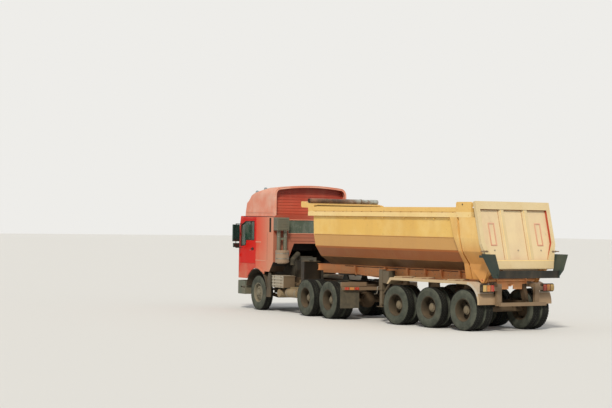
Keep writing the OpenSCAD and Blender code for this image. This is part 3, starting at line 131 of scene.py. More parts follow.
class Graph:
    """A small hand for wiring one material's nodes."""

    def __init__(self, name: str) -> None:
        """Start an empty material with its output.

        Args:
            name: The material's name.
        """
        self.material = bpy.data.materials.new(name)
        self.material.use_nodes = True
        self.tree = self.material.node_tree
        self.tree.nodes.clear()
        self.output = self.tree.nodes.new("ShaderNodeOutputMaterial")
        self.coords = self.tree.nodes.new("ShaderNodeTexCoord").outputs["Object"]

    def node(self, kind: str, **inputs: object) -> bpy.types.Node:
        """Add a node and set or link its inputs.

        Args:
            kind: The node's type name.
            **inputs: Values or sockets, by input name with spaces as underscores.

        Returns:
            The new node.
        """
        made = self.tree.nodes.new(kind)
        for key, value in inputs.items():
            self.feed(made.inputs[key.replace("_", " ")], value)
        return made

    def feed(self, socket: bpy.types.NodeSocket, value: object) -> None:
        """Link a socket to another one, or set its value.

        Args:
            socket: The input.
            value: A socket, or a plain value of the input's kind.
        """
        if isinstance(value, bpy.types.NodeSocket):
            self.tree.links.new(value, socket)
        elif isinstance(value, tuple) and len(value) == 3 and socket.type == "RGBA":
            socket.default_value = (*value, 1.0)
        else:
            socket.default_value = value

    def noise(self, scale: float, detail: float = 3.0, stretch: Point | None = None) -> bpy.types.NodeSocket:
        """Give a noise value.

        Args:
            scale: How fine the noise is, per metre.
            detail: How many finer layers it has.
            stretch: Scale of the coordinates along each axis.

        Returns:
            The noise socket, about 0.3 to 0.7.
        """
        vector = self.coords
        if stretch is not None:
            mapping = self.node("ShaderNodeMapping", Vector=self.coords)
            mapping.inputs["Scale"].default_value = stretch
            vector = mapping.outputs["Vector"]
        made = self.node("ShaderNodeTexNoise", Vector=vector, Scale=scale, Detail=detail, Roughness=0.6)
        return made.outputs["Fac"]

    def span(self, value: bpy.types.NodeSocket, low: float, high: float, first: float = 0.0,
             last: float = 1.0) -> bpy.types.NodeSocket:
        """Map a value from one range to another, clamped.

        Args:
            value: The value.
            low: Start of its range.
            high: End of its range.
            first: What the start becomes.
            last: What the end becomes.

        Returns:
            The mapped value.
        """
        made = self.node("ShaderNodeMapRange", Value=value)
        for key, number in (("From Min", low), ("From Max", high), ("To Min", first), ("To Max", last)):
            made.inputs[key].default_value = number
        return made.outputs["Result"]

    def math(self, kind: Operation, one: object, two: object) -> bpy.types.NodeSocket:
        """Combine two values, clamped.

        Args:
            kind: Whether they are added or multiplied.
            one: The first value.
            two: The second value.

        Returns:
            The result.
        """
        made = self.tree.nodes.new("ShaderNodeMath")
        made.operation = kind.value
        made.use_clamp = True
        self.feed(made.inputs[0], one)
        self.feed(made.inputs[1], two)
        return made.outputs[0]

    def add(self, one: object, two: object) -> bpy.types.NodeSocket:
        """Add two values, up to 1."""
        return self.math(Operation.ADD, one, two)

    def times(self, one: object, two: object) -> bpy.types.NodeSocket:
        """Multiply two values, up to 1."""
        return self.math(Operation.MULTIPLY, one, two)

    def mix(self, share: object, one: object, two: object) -> bpy.types.NodeSocket:
        """Mix two colours.

        Args:
            share: How much of the second colour there is.
            one: The first colour.
            two: The second colour.

        Returns:
            The mixed colour.
        """
        made = self.tree.nodes.new("ShaderNodeMix")
        made.data_type = "RGBA"
        for index, value in ((0, share), (6, one), (7, two)):
            self.feed(made.inputs[index], value)
        return made.outputs[2]

    def part(self, vector: bpy.types.NodeSocket, axis: str) -> bpy.types.NodeSocket:
        """Give one of a vector's three values."""
        return self.node("ShaderNodeSeparateXYZ", Vector=vector).outputs[axis]

    def tractor_x(self) -> bpy.types.NodeSocket:
        """Give the distance ahead of the kingpin in metres, along the tractor at rest.

        Returns:
            The distance.
        """
        kingpin = turn(-REST_TURN, "Z") @ Vector((KINGPIN - ORIGIN_X, -ORIGIN_Y, 0.0))
        made = self.node("ShaderNodeMapping", Vector=self.coords)
        made.inputs["Rotation"].default_value = (0.0, 0.0, math.radians(-REST_TURN))
        made.inputs["Location"].default_value = -kingpin
        return self.part(made.outputs["Vector"], "X")

    def surface(self, colour: object, rough: object, bump: tuple[object, float, float] | None = None,
                **constants: float) -> bpy.types.Material:
        """Finish the material with one principled shader.

        Args:
            colour: The base colour.
            rough: The roughness.
            bump: A height value, the bump's strength and its distance in metres.
            **constants: Values of other inputs, by name with spaces as underscores.

        Returns:
            The material.
        """
        shader = self.node("ShaderNodeBsdfPrincipled", Base_Color=colour, Roughness=rough, **constants)
        if bump is not None:
            height, strength, distance = bump
            made = self.node("ShaderNodeBump", Height=height, Strength=strength, Distance=distance)
            self.feed(shader.inputs["Normal"], made.outputs["Normal"])
        self.tree.links.new(shader.outputs[0], self.output.inputs["Surface"])
        return self.material


@dataclass(frozen=True)
class Finish:
    """What every finish can do."""

    def build(self, name: str) -> bpy.types.Material:
        """Wire the finish as a material of that name."""
        raise NotImplementedError


@dataclass(frozen=True)
class Band:
    """A stretch of height or of length painted in another colour; some are dust, some a second paint and some
    painted shade.
    """

    low: float
    high: float
    colour: Colour
    share: float = 1.0
    blur: float = 0.01


@dataclass(frozen=True)
class Paint(Finish):
    """Worn paint with fading, run-down streaks, road dust and rust chips, and bands of other colour, some of
    them painted shade.
    """

    base: Colour
    faded: Colour
    dust: Colour = srgb(168, 142, 112)
    rust: Colour = srgb(112, 62, 36)
    fade: float = 0.5
    streaks: float = 0.4
    low_dust: float = 0.0
    dust_top: float = 1.6
    top_dust: float = 0.5
    chips: float = 0.15
    gloss: float = 0.45
    metallic: float = 0.0
    shine: float = 0.25
    bands: tuple[Band, ...] = ()
    stretches: tuple[Band, ...] = ()

    def build(self, name: str) -> bpy.types.Material:
        """Wire the finish as a material of that name.

        Args:
            name: The material's name.

        Returns:
            The material.
        """
        g = Graph(name)
        patches = g.span(g.noise(1.3, 5.0), 0.42, 0.62)
        colour = g.mix(g.times(patches, self.fade), self.base, self.faded)
        height = g.part(g.coords, "Z")
        along = g.tractor_x() if self.stretches else height
        # Bands by height or by length; some are painted shade, such as the tub's lower wall and the top of
        # the roof's recessed rear wall.
        for band, value in [(b, height) for b in self.bands] + [(b, along) for b in self.stretches]:
            rising = g.span(value, band.low - band.blur, band.low + band.blur)
            falling = g.span(value, band.high - band.blur, band.high + band.blur, 1.0, 0.0)
            colour = g.mix(g.times(g.times(rising, falling), band.share), colour, band.colour)
        runs = g.span(g.noise(1.6, 5.0, (1.6, 1.6, 0.35)), 0.46, 0.78)
        colour = g.mix(g.times(runs, self.streaks), colour, self.dust)
        low = g.span(height, 0.3, self.dust_top, self.low_dust, 0.0)
        spread = g.span(g.noise(3.2, 6.0), 0.35, 0.62)
        lain = g.add(g.times(low, spread), g.times(low, 0.5))
        upward = g.part(g.tree.nodes.new("ShaderNodeNewGeometry").outputs["Normal"], "Z")
        lying = g.times(g.span(upward, 0.35, 0.9), self.top_dust)
        grime = g.add(lain, g.times(lying, g.span(spread, 0.0, 1.0, 0.5, 1.0)))
        colour = g.mix(grime, colour, self.dust)
        chips = g.times(g.span(g.noise(26.0, 6.0), 0.66, 0.70), self.chips)
        blooms = g.times(g.span(g.noise(7.0, 8.0, (1.0, 1.0, 0.5)), 0.64, 0.78), self.chips)
        colour = g.mix(g.add(chips, blooms), colour, self.rust)
        rough = g.add(g.span(grime, 0.0, 1.0, self.gloss, 0.9), g.span(g.noise(40.0), 0.3, 0.7, -0.04, 0.06))
        dents = g.add(g.times(g.noise(0.9, 2.0), 0.8), g.times(g.noise(90.0, 4.0), 0.12))
        return g.surface(colour, rough, (dents, 0.25, 0.02), Metallic=self.metallic,
                         Specular_IOR_Level=self.shine)


@dataclass(frozen=True)
class Rubber(Finish):
    """Rubber with dust on it."""

    base: Colour
    dust: Colour
    amount: float = 0.75

    def build(self, name: str) -> bpy.types.Material:
        """Wire the finish as a material of that name.

        Args:
            name: The material's name.

        Returns:
            The material.
        """
        g = Graph(name)
        cloud = g.span(g.noise(5.0, 6.0), 0.35, 0.65, 0.35, 1.0)
        colour = g.mix(g.times(cloud, self.amount), self.base, self.dust)
        grit = g.span(g.noise(120.0, 3.0), 0.4, 0.7, 0.0, 0.25)
        colour = g.mix(grit, colour, self.dust)
        return g.surface(colour, 0.85, (g.noise(160.0, 4.0), 0.25, 0.004), Specular_IOR_Level=0.25)


@dataclass(frozen=True)
class Glass(Finish):
    """Tinted cab glass with a film of dust."""

    tint: Colour
    dust: Colour = srgb(150, 140, 120)
    film: float = 0.25
    clear: float = 0.35

    def build(self, name: str) -> bpy.types.Material:
        """Wire the finish as a material of that name.

        Args:
            name: The material's name.

        Returns:
            The material.
        """
        g = Graph(name)
        film = g.span(g.noise(4.0, 5.0, (1.0, 1.0, 0.5)), 0.4, 0.7, 0.0, self.film)
        colour = g.mix(film, self.tint, self.dust)
        return g.surface(colour, g.span(film, 0.0, 0.3, 0.06, 0.5), Specular_IOR_Level=0.7,
                         Transmission_Weight=self.clear, IOR=1.45)


@dataclass(frozen=True)
class Metal(Finish):
    """Bare, polished or cast metal."""

    base: Colour
    rough: float = 0.35
    oil: Colour = srgb(60, 50, 40)
    smear: float = 0.3

    def build(self, name: str) -> bpy.types.Material:
        """Wire the finish as a material of that name.

        Args:
            name: The material's name.

        Returns:
            The material.
        """
        g = Graph(name)
        cloud = g.span(g.noise(9.0, 5.0), 0.45, 0.7, 0.0, self.smear)
        colour = g.mix(cloud, self.base, self.oil)
        rough = g.span(cloud, 0.0, 1.0, self.rough, 0.8)
        return g.surface(colour, rough, (g.noise(200.0, 3.0), 0.1, 0.002), Metallic=0.85)


@dataclass(frozen=True)
class Lens(Finish):
    """A ribbed lamp lens."""

    base: Colour
    dust: Colour = srgb(170, 145, 115)
    film: float = 0.35

    def build(self, name: str) -> bpy.types.Material:
        """Wire the finish as a material of that name.

        Args:
            name: The material's name.

        Returns:
            The material.
        """
        g = Graph(name)
        film = g.span(g.noise(14.0, 5.0), 0.4, 0.65, 0.0, self.film)
        colour = g.mix(film, self.base, self.dust)
        ribs = g.node("ShaderNodeTexWave", Vector=g.coords, Scale=60.0).outputs["Fac"]
        return g.surface(colour, g.span(film, 0.0, 0.4, 0.15, 0.7), (ribs, 0.2, 0.002), Coat_Weight=0.4)


@dataclass(frozen=True)
class Canvas(Finish):
    """Coated sheet, woven, weathered, and bleached towards the right."""

    base: Colour
    worn: Colour
    pale: Colour

    def build(self, name: str) -> bpy.types.Material:
        """Wire the finish as a material of that name.

        Args:
            name: The material's name.

        Returns:
            The material.
        """
        g = Graph(name)
        colour = g.mix(g.span(g.noise(4.0, 6.0), 0.38, 0.6), self.base, self.worn)
        bleached = g.times(g.span(g.part(g.coords, "Y"), 0.45, -0.25), g.span(g.noise(6.0, 4.0), 0.35, 0.55))
        colour = g.mix(bleached, colour, self.pale)
        weave = g.node("ShaderNodeTexChecker", Vector=g.coords, Scale=300.0).outputs["Fac"]
        folds = g.add(g.times(g.noise(25.0, 4.0, (3.0, 0.6, 3.0)), 0.8), g.times(weave, 0.1))
        return g.surface(colour, 0.8, (folds, 0.5, 0.01), Sheen_Weight=0.2)


@dataclass(frozen=True)
class Cloth(Finish):
    """Woven cloth, rubbed paler in places."""

    base: Colour
    rubbed: Colour

    def build(self, name: str) -> bpy.types.Material:
        """Wire the finish as a material of that name.

        Args:
            name: The material's name.

        Returns:
            The material.
        """
        g = Graph(name)
        colour = g.mix(g.span(g.noise(12.0, 5.0), 0.4, 0.65), self.base, self.rubbed)
        threads = g.node("ShaderNodeTexChecker", Vector=g.coords, Scale=420.0).outputs["Fac"]
        colour = g.mix(g.times(threads, 0.12), colour, self.rubbed)
        return g.surface(colour, 0.9, (threads, 0.2, 0.002), Sheen_Weight=0.3)


DUST = srgb(176, 150, 118)
EARTH = srgb(134, 112, 86)
DIRT = srgb(110, 92, 70)

FINISHES: dict[str, Finish] = {
    # The tub's yellow turns tan below the fold at 2.355. The bands below the crease at 2.034, below 1.985 and
    # below 1.742 are painted shade, darker in steps towards the underside where the wall turns inward.
    "body_yellow": Paint(srgb(224, 182, 98), srgb(230, 196, 122), dust=srgb(176, 134, 88), fade=0.8,
        streaks=0.22, chips=0.35, bands=(Band(0.0, 2.355, srgb(200, 152, 92), 0.92, 0.03),
        Band(0.0, 2.034, srgb(196, 112, 54), 0.95, 0.005), Band(0.0, 1.985, srgb(156, 96, 58), 0.92, 0.02),
        Band(0.0, 1.742, srgb(92, 72, 50), 0.92, 0.012))),
    "rail_yellow": Paint(srgb(232, 202, 138), srgb(234, 208, 152), dust=srgb(184, 138, 88), fade=0.7,
        streaks=0.2, chips=0.45, bands=(Band(3.012, 3.6, srgb(224, 182, 104), 0.85, 0.006),)),
    "post_gold": Paint(srgb(226, 184, 110), srgb(232, 198, 132), dust=srgb(168, 118, 70), fade=0.8,
        streaks=0.35, chips=0.5, bands=(Band(0.0, 2.1, srgb(204, 140, 72), 0.8, 0.2),)),
    "gate_cream": Paint(srgb(204, 182, 138), srgb(210, 192, 152), dust=srgb(192, 158, 118), fade=0.6,
        streaks=0.2, chips=0.3),
    "gate_panel": Paint(srgb(216, 194, 152), srgb(206, 184, 148), dust=srgb(188, 150, 118), fade=0.8,
        streaks=0.3, chips=0.2),
    "gate_red": Paint(srgb(176, 60, 44), srgb(190, 92, 70), dust=srgb(180, 130, 100), streaks=0.3, chips=0.2),
    "gate_pink": Paint(srgb(204, 146, 120), srgb(212, 166, 140), dust=srgb(196, 158, 124), fade=0.9,
        streaks=0.3, chips=0.1),
    "gate_spot": Paint(srgb(150, 138, 120), srgb(170, 154, 132), dust=srgb(160, 130, 100), streaks=0.35),
    # Painted shade for the underside of the gate's top border, where it overhangs the recessed panel.
    "gate_painted_shade": Paint(srgb(120, 92, 66), srgb(142, 112, 80), dust=srgb(150, 118, 88), streaks=0.3),
    "load_steel": Paint(srgb(150, 132, 108), srgb(126, 98, 72), dust=srgb(172, 150, 122), fade=0.9,
        streaks=0.6, top_dust=0.9, chips=1.0, gloss=0.55),
    "trailer_orange": Paint(srgb(236, 152, 92), srgb(226, 166, 114), dust=srgb(196, 148, 104), streaks=0.5,
        low_dust=0.7, dust_top=1.75, chips=0.6),
    "chassis_rust": Paint(srgb(62, 50, 38), srgb(80, 64, 47), dust=srgb(108, 90, 68), low_dust=0.5,
        dust_top=1.4, chips=0.7, gloss=0.7),
    "guard_cream": Paint(srgb(196, 174, 138), srgb(182, 160, 126), dust=DUST, low_dust=0.5, chips=0.4),
    "skirt_beige": Paint(srgb(160, 134, 104), srgb(146, 120, 92), dust=EARTH, low_dust=0.3),
    "guard_white": Paint(srgb(200, 194, 180), srgb(186, 178, 162), dust=DUST, low_dust=0.5, chips=0.3),
    "dark_steel": Paint(srgb(42, 48, 42), srgb(54, 60, 52), dust=EARTH, streaks=0.3, low_dust=0.4,
        dust_top=1.2, chips=0.3, gloss=0.5),
    "grease": Metal(srgb(70, 62, 50), 0.4, srgb(34, 28, 22), 0.8),
    "guard_green": Paint(srgb(52, 64, 58), srgb(66, 78, 70), dust=EARTH, streaks=0.2, chips=0.4, gloss=0.5),
    "grey_steel": Paint(srgb(78, 76, 68), srgb(96, 92, 80), dust=DIRT, low_dust=0.6),
    "cab_red": Paint(srgb(214, 78, 52), srgb(212, 106, 76), dust=srgb(196, 154, 124), fade=0.7, streaks=0.25,
        low_dust=0.6, dust_top=1.9, chips=0.1, gloss=0.35, shine=0.12,
        stretches=(Band(2.0, 3.4, srgb(200, 144, 116), 0.8, 0.45),
        Band(3.96, 6.0, srgb(200, 18, 4), 0.97, 0.05))),
    "rear_red": Paint(srgb(160, 66, 48), srgb(170, 92, 70), dust=srgb(164, 116, 92), fade=0.7, streaks=0.5,
        low_dust=0.6, dust_top=2.6, chips=0.1, bands=(Band(0.0, 2.31, srgb(168, 112, 88), 0.65, 0.06),)),
    # The darker band above 3.4 is a painted shadow at the top of the roof's recessed rear wall, under its
    # rear lip.
    "roof_red": Paint(srgb(182, 78, 56), srgb(190, 90, 68), dust=srgb(180, 116, 92), fade=0.6, streaks=0.3,
        chips=0.05, bands=(Band(3.4, 4.0, srgb(140, 48, 34), 0.8, 0.15),)),
    "roof_pink": Paint(srgb(214, 134, 108), srgb(220, 172, 150), dust=srgb(206, 166, 142), fade=0.9,
        streaks=0.35, chips=0.1, gloss=0.4),
    "trim_pale": Paint(srgb(216, 150, 124), srgb(206, 132, 104), dust=srgb(190, 142, 112), streaks=0.2,
        low_dust=0.2),
    "door_red": Paint(srgb(198, 14, 2), srgb(206, 30, 10), dust=srgb(178, 110, 84), streaks=0.06,
        low_dust=0.22, dust_top=1.5, chips=0.03, gloss=0.35, shine=0.08),
    "tank_brown": Paint(srgb(26, 24, 20), srgb(40, 34, 27), dust=DIRT, streaks=0.25, low_dust=0.15),
    "box_pale": Paint(srgb(112, 96, 76), srgb(100, 80, 60), dust=DIRT, low_dust=0.2),
    "tank_beige": Paint(srgb(150, 136, 106), srgb(136, 118, 90), dust=EARTH, low_dust=0.5),
    "tank_silver": Paint(srgb(168, 164, 152), srgb(150, 140, 120), dust=EARTH, streaks=0.5, low_dust=0.6,
        gloss=0.35, metallic=0.5),
    "lid_silver": Paint(srgb(178, 176, 162), srgb(168, 154, 130), dust=DUST, streaks=0.3, low_dust=0.4,
        gloss=0.4, metallic=0.3),
    "canister": Paint(srgb(152, 130, 108), srgb(142, 118, 96), dust=DUST, streaks=0.5, low_dust=0.3),
    "intake_green": Paint(srgb(112, 110, 94), srgb(98, 100, 86), dust=EARTH),
    "mirror_green": Paint(srgb(24, 52, 44), srgb(34, 62, 52), dust=EARTH, streaks=0.15, top_dust=0.3,
        chips=0.0, gloss=0.3),
    "mirror_glass": Metal(srgb(70, 92, 86), 0.08, srgb(60, 66, 60), 0.3),
    "black_trim": Paint(srgb(30, 32, 29), srgb(44, 45, 40), dust=EARTH, streaks=0.2, low_dust=0.35, chips=0.0,
        gloss=0.6),
    "gasket": Rubber(srgb(22, 24, 22), srgb(74, 72, 62), 0.35),
    "hose": Rubber(srgb(34, 34, 30), srgb(96, 88, 72), 0.6),
    "flap": Rubber(srgb(50, 52, 46), srgb(104, 94, 76), 0.7),
    "mud_panel": Paint(srgb(56, 56, 48), srgb(68, 66, 56), dust=DIRT, low_dust=0.5, chips=0.1),
    "leg_grey": Paint(srgb(88, 82, 68), srgb(76, 68, 54), dust=EARTH, streaks=0.3, low_dust=0.3),
    "lamp_bar": Paint(srgb(126, 106, 84), srgb(112, 92, 70), dust=EARTH, low_dust=0.5),
    "bumper_grey": Paint(srgb(78, 94, 84), srgb(92, 104, 92), dust=EARTH, streaks=0.3, low_dust=0.35,
        chips=0.0, gloss=0.5),
    "rim_beige": Paint(srgb(116, 108, 90), srgb(100, 90, 72), dust=srgb(126, 112, 90), streaks=0.1,
        low_dust=0.5, dust_top=1.3, chips=0.4, gloss=0.6),
    "rim_grey": Paint(srgb(122, 118, 102), srgb(104, 98, 82), dust=srgb(126, 116, 96), streaks=0.1,
        low_dust=0.4, chips=0.3, gloss=0.6),
    "rim_dark": Paint(srgb(50, 46, 37), srgb(66, 58, 44), dust=srgb(92, 78, 60), streaks=0.1, low_dust=0.45,
        dust_top=1.3, chips=0.4, gloss=0.7),
    "strip_red": Paint(srgb(122, 50, 36), srgb(134, 72, 52), dust=srgb(150, 112, 80), low_dust=0.4),
    "weld": Paint(srgb(164, 104, 54), srgb(150, 96, 56), dust=srgb(150, 108, 68), streaks=0.3, chips=0.8,
        gloss=0.6),
    "tyre_wall": Rubber(srgb(36, 42, 38), srgb(90, 92, 80), 0.85),
    "tyre_tread": Rubber(srgb(10, 11, 10), srgb(46, 44, 38), 0.35),
    "glass": Glass(srgb(44, 78, 62), film=0.3, clear=0.35),
    "rear_glass": Glass(srgb(84, 98, 86), srgb(120, 120, 104), film=0.6, clear=0.1),
    "chrome_rod": Metal(srgb(200, 200, 204), 0.15),
    "zinc": Metal(srgb(150, 146, 134), 0.4, srgb(96, 76, 54), 0.7),
    "interior": Paint(srgb(46, 44, 42), srgb(56, 52, 48), dust=EARTH, streaks=0.0, top_dust=0.25, chips=0.0,
        gloss=0.7),
    "seat_cloth": Cloth(srgb(52, 56, 60), srgb(84, 80, 72)),
    "bunk_cloth": Cloth(srgb(104, 92, 78), srgb(134, 120, 98)),
    "red_lens": Lens(srgb(184, 52, 36)),
    "amber_lens": Lens(srgb(206, 132, 66)),
    "yellow_lens": Lens(srgb(212, 176, 104)),
    "clear_lens": Lens(srgb(222, 216, 196)),
    "blue_lens": Lens(srgb(116, 138, 146)),
    "canvas": Canvas(srgb(74, 54, 40), srgb(128, 92, 66), srgb(160, 168, 162)),
    "webbing": Cloth(srgb(88, 70, 48), srgb(120, 98, 70)),
}


class Paints:
    """The finishes as built materials, each made once."""

    made: dict[str, bpy.types.Material] = {}

    @classmethod
    def get(cls, name: str) -> bpy.types.Material:
        """Give a finish's material, building it the first time."""
        if name not in cls.made:
            cls.made[name] = FINISHES[name].build(name)
        return cls.made[name]


# Modelling tools


def clear_selection() -> None:
    """Leave edit mode and select nothing."""
    if bpy.context.object is not None and bpy.context.object.mode != "OBJECT":
        bpy.ops.object.mode_set(mode="OBJECT")
    bpy.ops.object.select_all(action="DESELECT")


def pick(*objects: Object) -> None:
    """Select objects alone.

    Args:
        *objects: The objects, the active one first.
    """
    clear_selection()
    for item in objects:
        item.select_set(True)
    bpy.context.view_layer.objects.active = objects[0]


def edit_all() -> None:
    """Enter edit mode with the whole mesh selected."""
    bpy.ops.object.mode_set(mode="EDIT")
    bpy.ops.mesh.select_all(action="SELECT")


def settled() -> Object:
    """Give the active object with its place applied to its mesh."""
    bpy.ops.object.transform_apply(location=True, rotation=True, scale=True)
    return bpy.context.object


def join(objects: list[Object], name: str) -> Object:
    """Join objects into one.

    Args:
        objects: The objects.
        name: The new name.

    Returns:
        The first object, with all meshes in it.
    """
    pick(*objects)
    if len(objects) > 1:
        bpy.ops.object.join()
    objects[0].name = name
    return objects[0]


def copy_of(item: Object) -> Object:
    """Copy an object.

    Args:
        item: The object.

    Returns:
        A copy with a mesh of its own.
    """
    made = item.copy()
    made.data = item.data.copy()
    bpy.context.scene.collection.objects.link(made)
    return made


def moved(item: Object, matrix: Matrix) -> Object:
    """Move an object's mesh and leave the object at the origin.

    Args:
        item: The object.
        matrix: The move.

    Returns:
        The same object.
    """
    item.matrix_world = matrix @ item.matrix_world
    pick(item)
    return settled()


def sided(item: Object, side: float) -> Object:
    """Turn a left piece round to the right where the side is negative."""
    return moved(item, turn(180.0, "Z")) if side < 0.0 else item


def both_sides(item: Object) -> list[Object]:
    """Give an object and a copy turned round to the other side."""
    return [item, sided(copy_of(item), -1.0)]


def modified(item: Object, kind: str, **settings: object) -> Object:
    """Change an object's mesh by an applied modifier.

    Args:
        item: The object.
        kind: The modifier's type name.
        **settings: The modifier's settings.

    Returns:
        The same object.
    """
    pick(item)
    modifier = item.modifiers.new(kind.lower(), kind)
    for key, value in settings.items():
        setattr(modifier, key, value)
    bpy.ops.object.modifier_apply(modifier=modifier.name)
    return item


def bevelled(item: Object, width: float, segments: int = 2) -> Object:
    """Round an object's edges."""
    return modified(item, "BEVEL", width=width, segments=segments, limit_method="ANGLE")


def smooth(item: Object, degrees: float = 35.0) -> Object:
    """Shade smooth, apart from edges sharper than an angle.

    Args:
        item: The object.
        degrees: The angle.

    Returns:
        The same object.
    """
    pick(item)
    bpy.ops.object.shade_smooth_by_angle(angle=math.radians(degrees))
    return item


def box(name: str, low: Point, high: Point, edge: float = 0.004) -> Object:
    """Make a box between two corners, with rounded edges.

    Args:
        name: The object's name.
        low: Lowest corner.
        high: Highest corner.
        edge: Width of the rounding.

    Returns:
        The new object.
    """
    clear_selection()
    middle = [(a + b) / 2.0 for a, b in zip(low, high)]
    bpy.ops.mesh.primitive_cube_add(size=1.0, location=middle)
    made = bpy.context.object
    made.name = name
    made.scale = [abs(b - a) for a, b in zip(low, high)]
    settled()
    return bevelled(made, edge) if edge > 0.0 else made


def trace(points: list[Point], shut: bool) -> Object:
    """Draw a line of edges through points by extruding one corner after another.

    Args:
        points: The corners.
        shut: Whether the last corner joins the first.

    Returns:
        The object, left in edit mode with all of it selected.
    """
    clear_selection()
    bpy.ops.mesh.primitive_plane_add(size=0.01, location=(0.0, 0.0, 0.0))
    made = bpy.context.object
    edit_all()
    bpy.ops.mesh.merge(type="CENTER")
    bpy.ops.transform.translate(value=points[0])
    here = Vector(points[0])
    for point in points[1:]:
        bpy.ops.mesh.extrude_vertices_move(TRANSFORM_OT_translate={"value": Vector(point) - here})
        here = Vector(point)
    bpy.ops.mesh.select_all(action="SELECT")
    if shut:
        bpy.ops.mesh.edge_face_add()
    return made


def plate(name: str, outline: list[Point], push: Point, edge: float = 0.0) -> Object:
    """Make a plate by drawing its outline and extruding the face.

    Args:
        name: The object's name.
        outline: Corners of the outline.
        push: Direction and length of its thickness.
        edge: Width of the edges' rounding.

    Returns:
        The new object.
    """
    made = trace(outline, True)
    bpy.ops.mesh.extrude_region_move(TRANSFORM_OT_translate={"value": push})
    bpy.ops.mesh.select_all(action="SELECT")
    bpy.ops.mesh.normals_make_consistent(inside=False)
    bpy.ops.object.mode_set(mode="OBJECT")
    made.name = name
    return bevelled(made, edge) if edge > 0.0 else made


def side_plate(name: str, y0: float, y1: float, outline: list[Flat], edge: float = 0.0) -> Object:
    """Make an upright plate of x, z points from one y to another."""
    return plate(name, [(x, y0, z) for x, z in outline], (0.0, y1 - y0, 0.0), edge)


def lathe(name: str, profile: list[Flat], steps: int, shut: bool = True) -> Object:
    """Spin a profile round the y axis.

    Args:
        name: The object's name.
        profile: Points of radius and y.
        steps: Number of steps in the turn.
        shut: Whether the profile is a closed loop.

    Returns:
        The new object.
    """
    loop = list(profile) + ([profile[0]] if shut else [])
    made = trace([(radius, y, 0.0) for radius, y in loop], False)
    bpy.ops.mesh.remove_doubles(threshold=1e-5)
    bpy.ops.mesh.select_all(action="SELECT")
    bpy.ops.mesh.spin(steps=steps, angle=math.tau, center=(0.0, 0.0, 0.0), axis=(0.0, 1.0, 0.0))
    bpy.ops.mesh.select_all(action="SELECT")
    bpy.ops.mesh.remove_doubles(threshold=1e-4)
    bpy.ops.mesh.normals_make_consistent(inside=False)
    bpy.ops.object.mode_set(mode="OBJECT")
    made.name = name
    return made


def rod(name: str, start: Point, end: Point, radius: float, sides: int = 20, edge: float = 0.002) -> Object:
    """Make a round bar between two points.

    Args:
        name: The object's name.
        start: Middle of one end.
        end: Middle of the other end.
        radius: The bar's radius.
        sides: Number of flats round it.
        edge: Width of the rounding at its ends.

    Returns:
        The new object.
    """
    clear_selection()
    line = Vector(end) - Vector(start)
    bpy.ops.mesh.primitive_cylinder_add(vertices=sides, radius=radius, depth=line.length)
    made = bpy.context.object
    made.name = name
    if edge > 0.0:
        bevelled(made, edge)
    middle = (Vector(start) + Vector(end)) / 2.0
    return moved(made, shift(*middle) @ line.to_track_quat("Z", "Y").to_matrix().to_4x4())


def pipe(name: str, points: list[Point], radius: float, sides: int = 3) -> Object:
    """Make a bent tube along a smooth line through points.

    Args:
        name: The object's name.
        points: Where the tube's middle passes.
        radius: The tube's radius.
        sides: Rounding steps of its section.

    Returns:
        The new mesh object.
    """
    clear_selection()
    bpy.ops.curve.primitive_nurbs_path_add()
    made = bpy.context.object
    curve = made.data
    curve.splines.clear()
    spline = curve.splines.new("NURBS")
    spline.points.add(len(points) - 1)
    for target, point in zip(spline.points, points):
        target.co = (*point, 1.0)
    spline.use_endpoint_u = True
    spline.order_u = min(4, len(points))
    spline.resolution_u = 6
    curve.dimensions = "3D"
    curve.bevel_depth = radius
    curve.bevel_resolution = sides
    curve.use_fill_caps = True
    bpy.ops.object.convert(target="MESH")
    made = settled()
    made.name = name
    return made


def ringed(item: Object, count: int) -> Object:
    """Repeat an object round the y axis.

    Args:
        item: The object.
        count: How many there are in the ring.

    Returns:
        The same object, now the whole ring.
    """
    clear_selection()
    bpy.ops.object.empty_add(location=(0.0, 0.0, 0.0))
    step = bpy.context.object
    step.rotation_euler = (0.0, math.tau / count, 0.0)
    bpy.context.view_layer.update()
    modified(item, "ARRAY", count=count, use_relative_offset=False, use_object_offset=True,
             offset_object=step)
    bpy.data.objects.remove(step)
    return item


def repeated(item: Object, places: list[Point], name: str) -> Object:
    """Set copies of a small piece at places and join them.

    Args:
        item: The piece, which is used up.
        places: Where the copies go.
        name: The joined object's name.

    Returns:
        The joined object.
    """
    copies = []
    for place in places:
        made = copy_of(item)
        made.location = Vector(place)
        copies.append(made)
    bpy.data.objects.remove(item)
    pick(join(copies, name))
    return settled()


def bolt(axis: str, radius: float, height: float) -> Object:
    """Make a hexagon bolt's head with its foot at the origin.

    Args:
        axis: Where it faces, such as "+y".
        radius: Its radius over the corners.
        height: Its height.

    Returns:
        The new object.
    """
    clear_selection()
    bpy.ops.mesh.primitive_cylinder_add(vertices=6, radius=radius, depth=height,
                                        location=(0.0, 0.0, height / 2.0))
    made = bevelled(settled(), radius * 0.18, 1)
    degrees, about = {"+x": (90.0, "Y"), "+y": (-90.0, "X"), "-y": (90.0, "X")}[axis]
    return moved(made, turn(degrees, about))


def hoop(name: str, radii: Flat, ys: Flat, steps: int) -> Object:
    """Make a flat ring round the y axis.

    Args:
        name: The object's name.
        radii: Its inner and outer radius.
        ys: Where it starts and ends.
        steps: Number of steps in the turn.

    Returns:
        The new object.
    """
    inner, outer = radii
    return lathe(name, [(inner, ys[0]), (outer, ys[0]), (outer, ys[1]), (inner, ys[1])], steps)


def other_side(point: Point) -> Point:
    """Give a point's image across the centre plane."""
    return (point[0], -point[1], point[2])


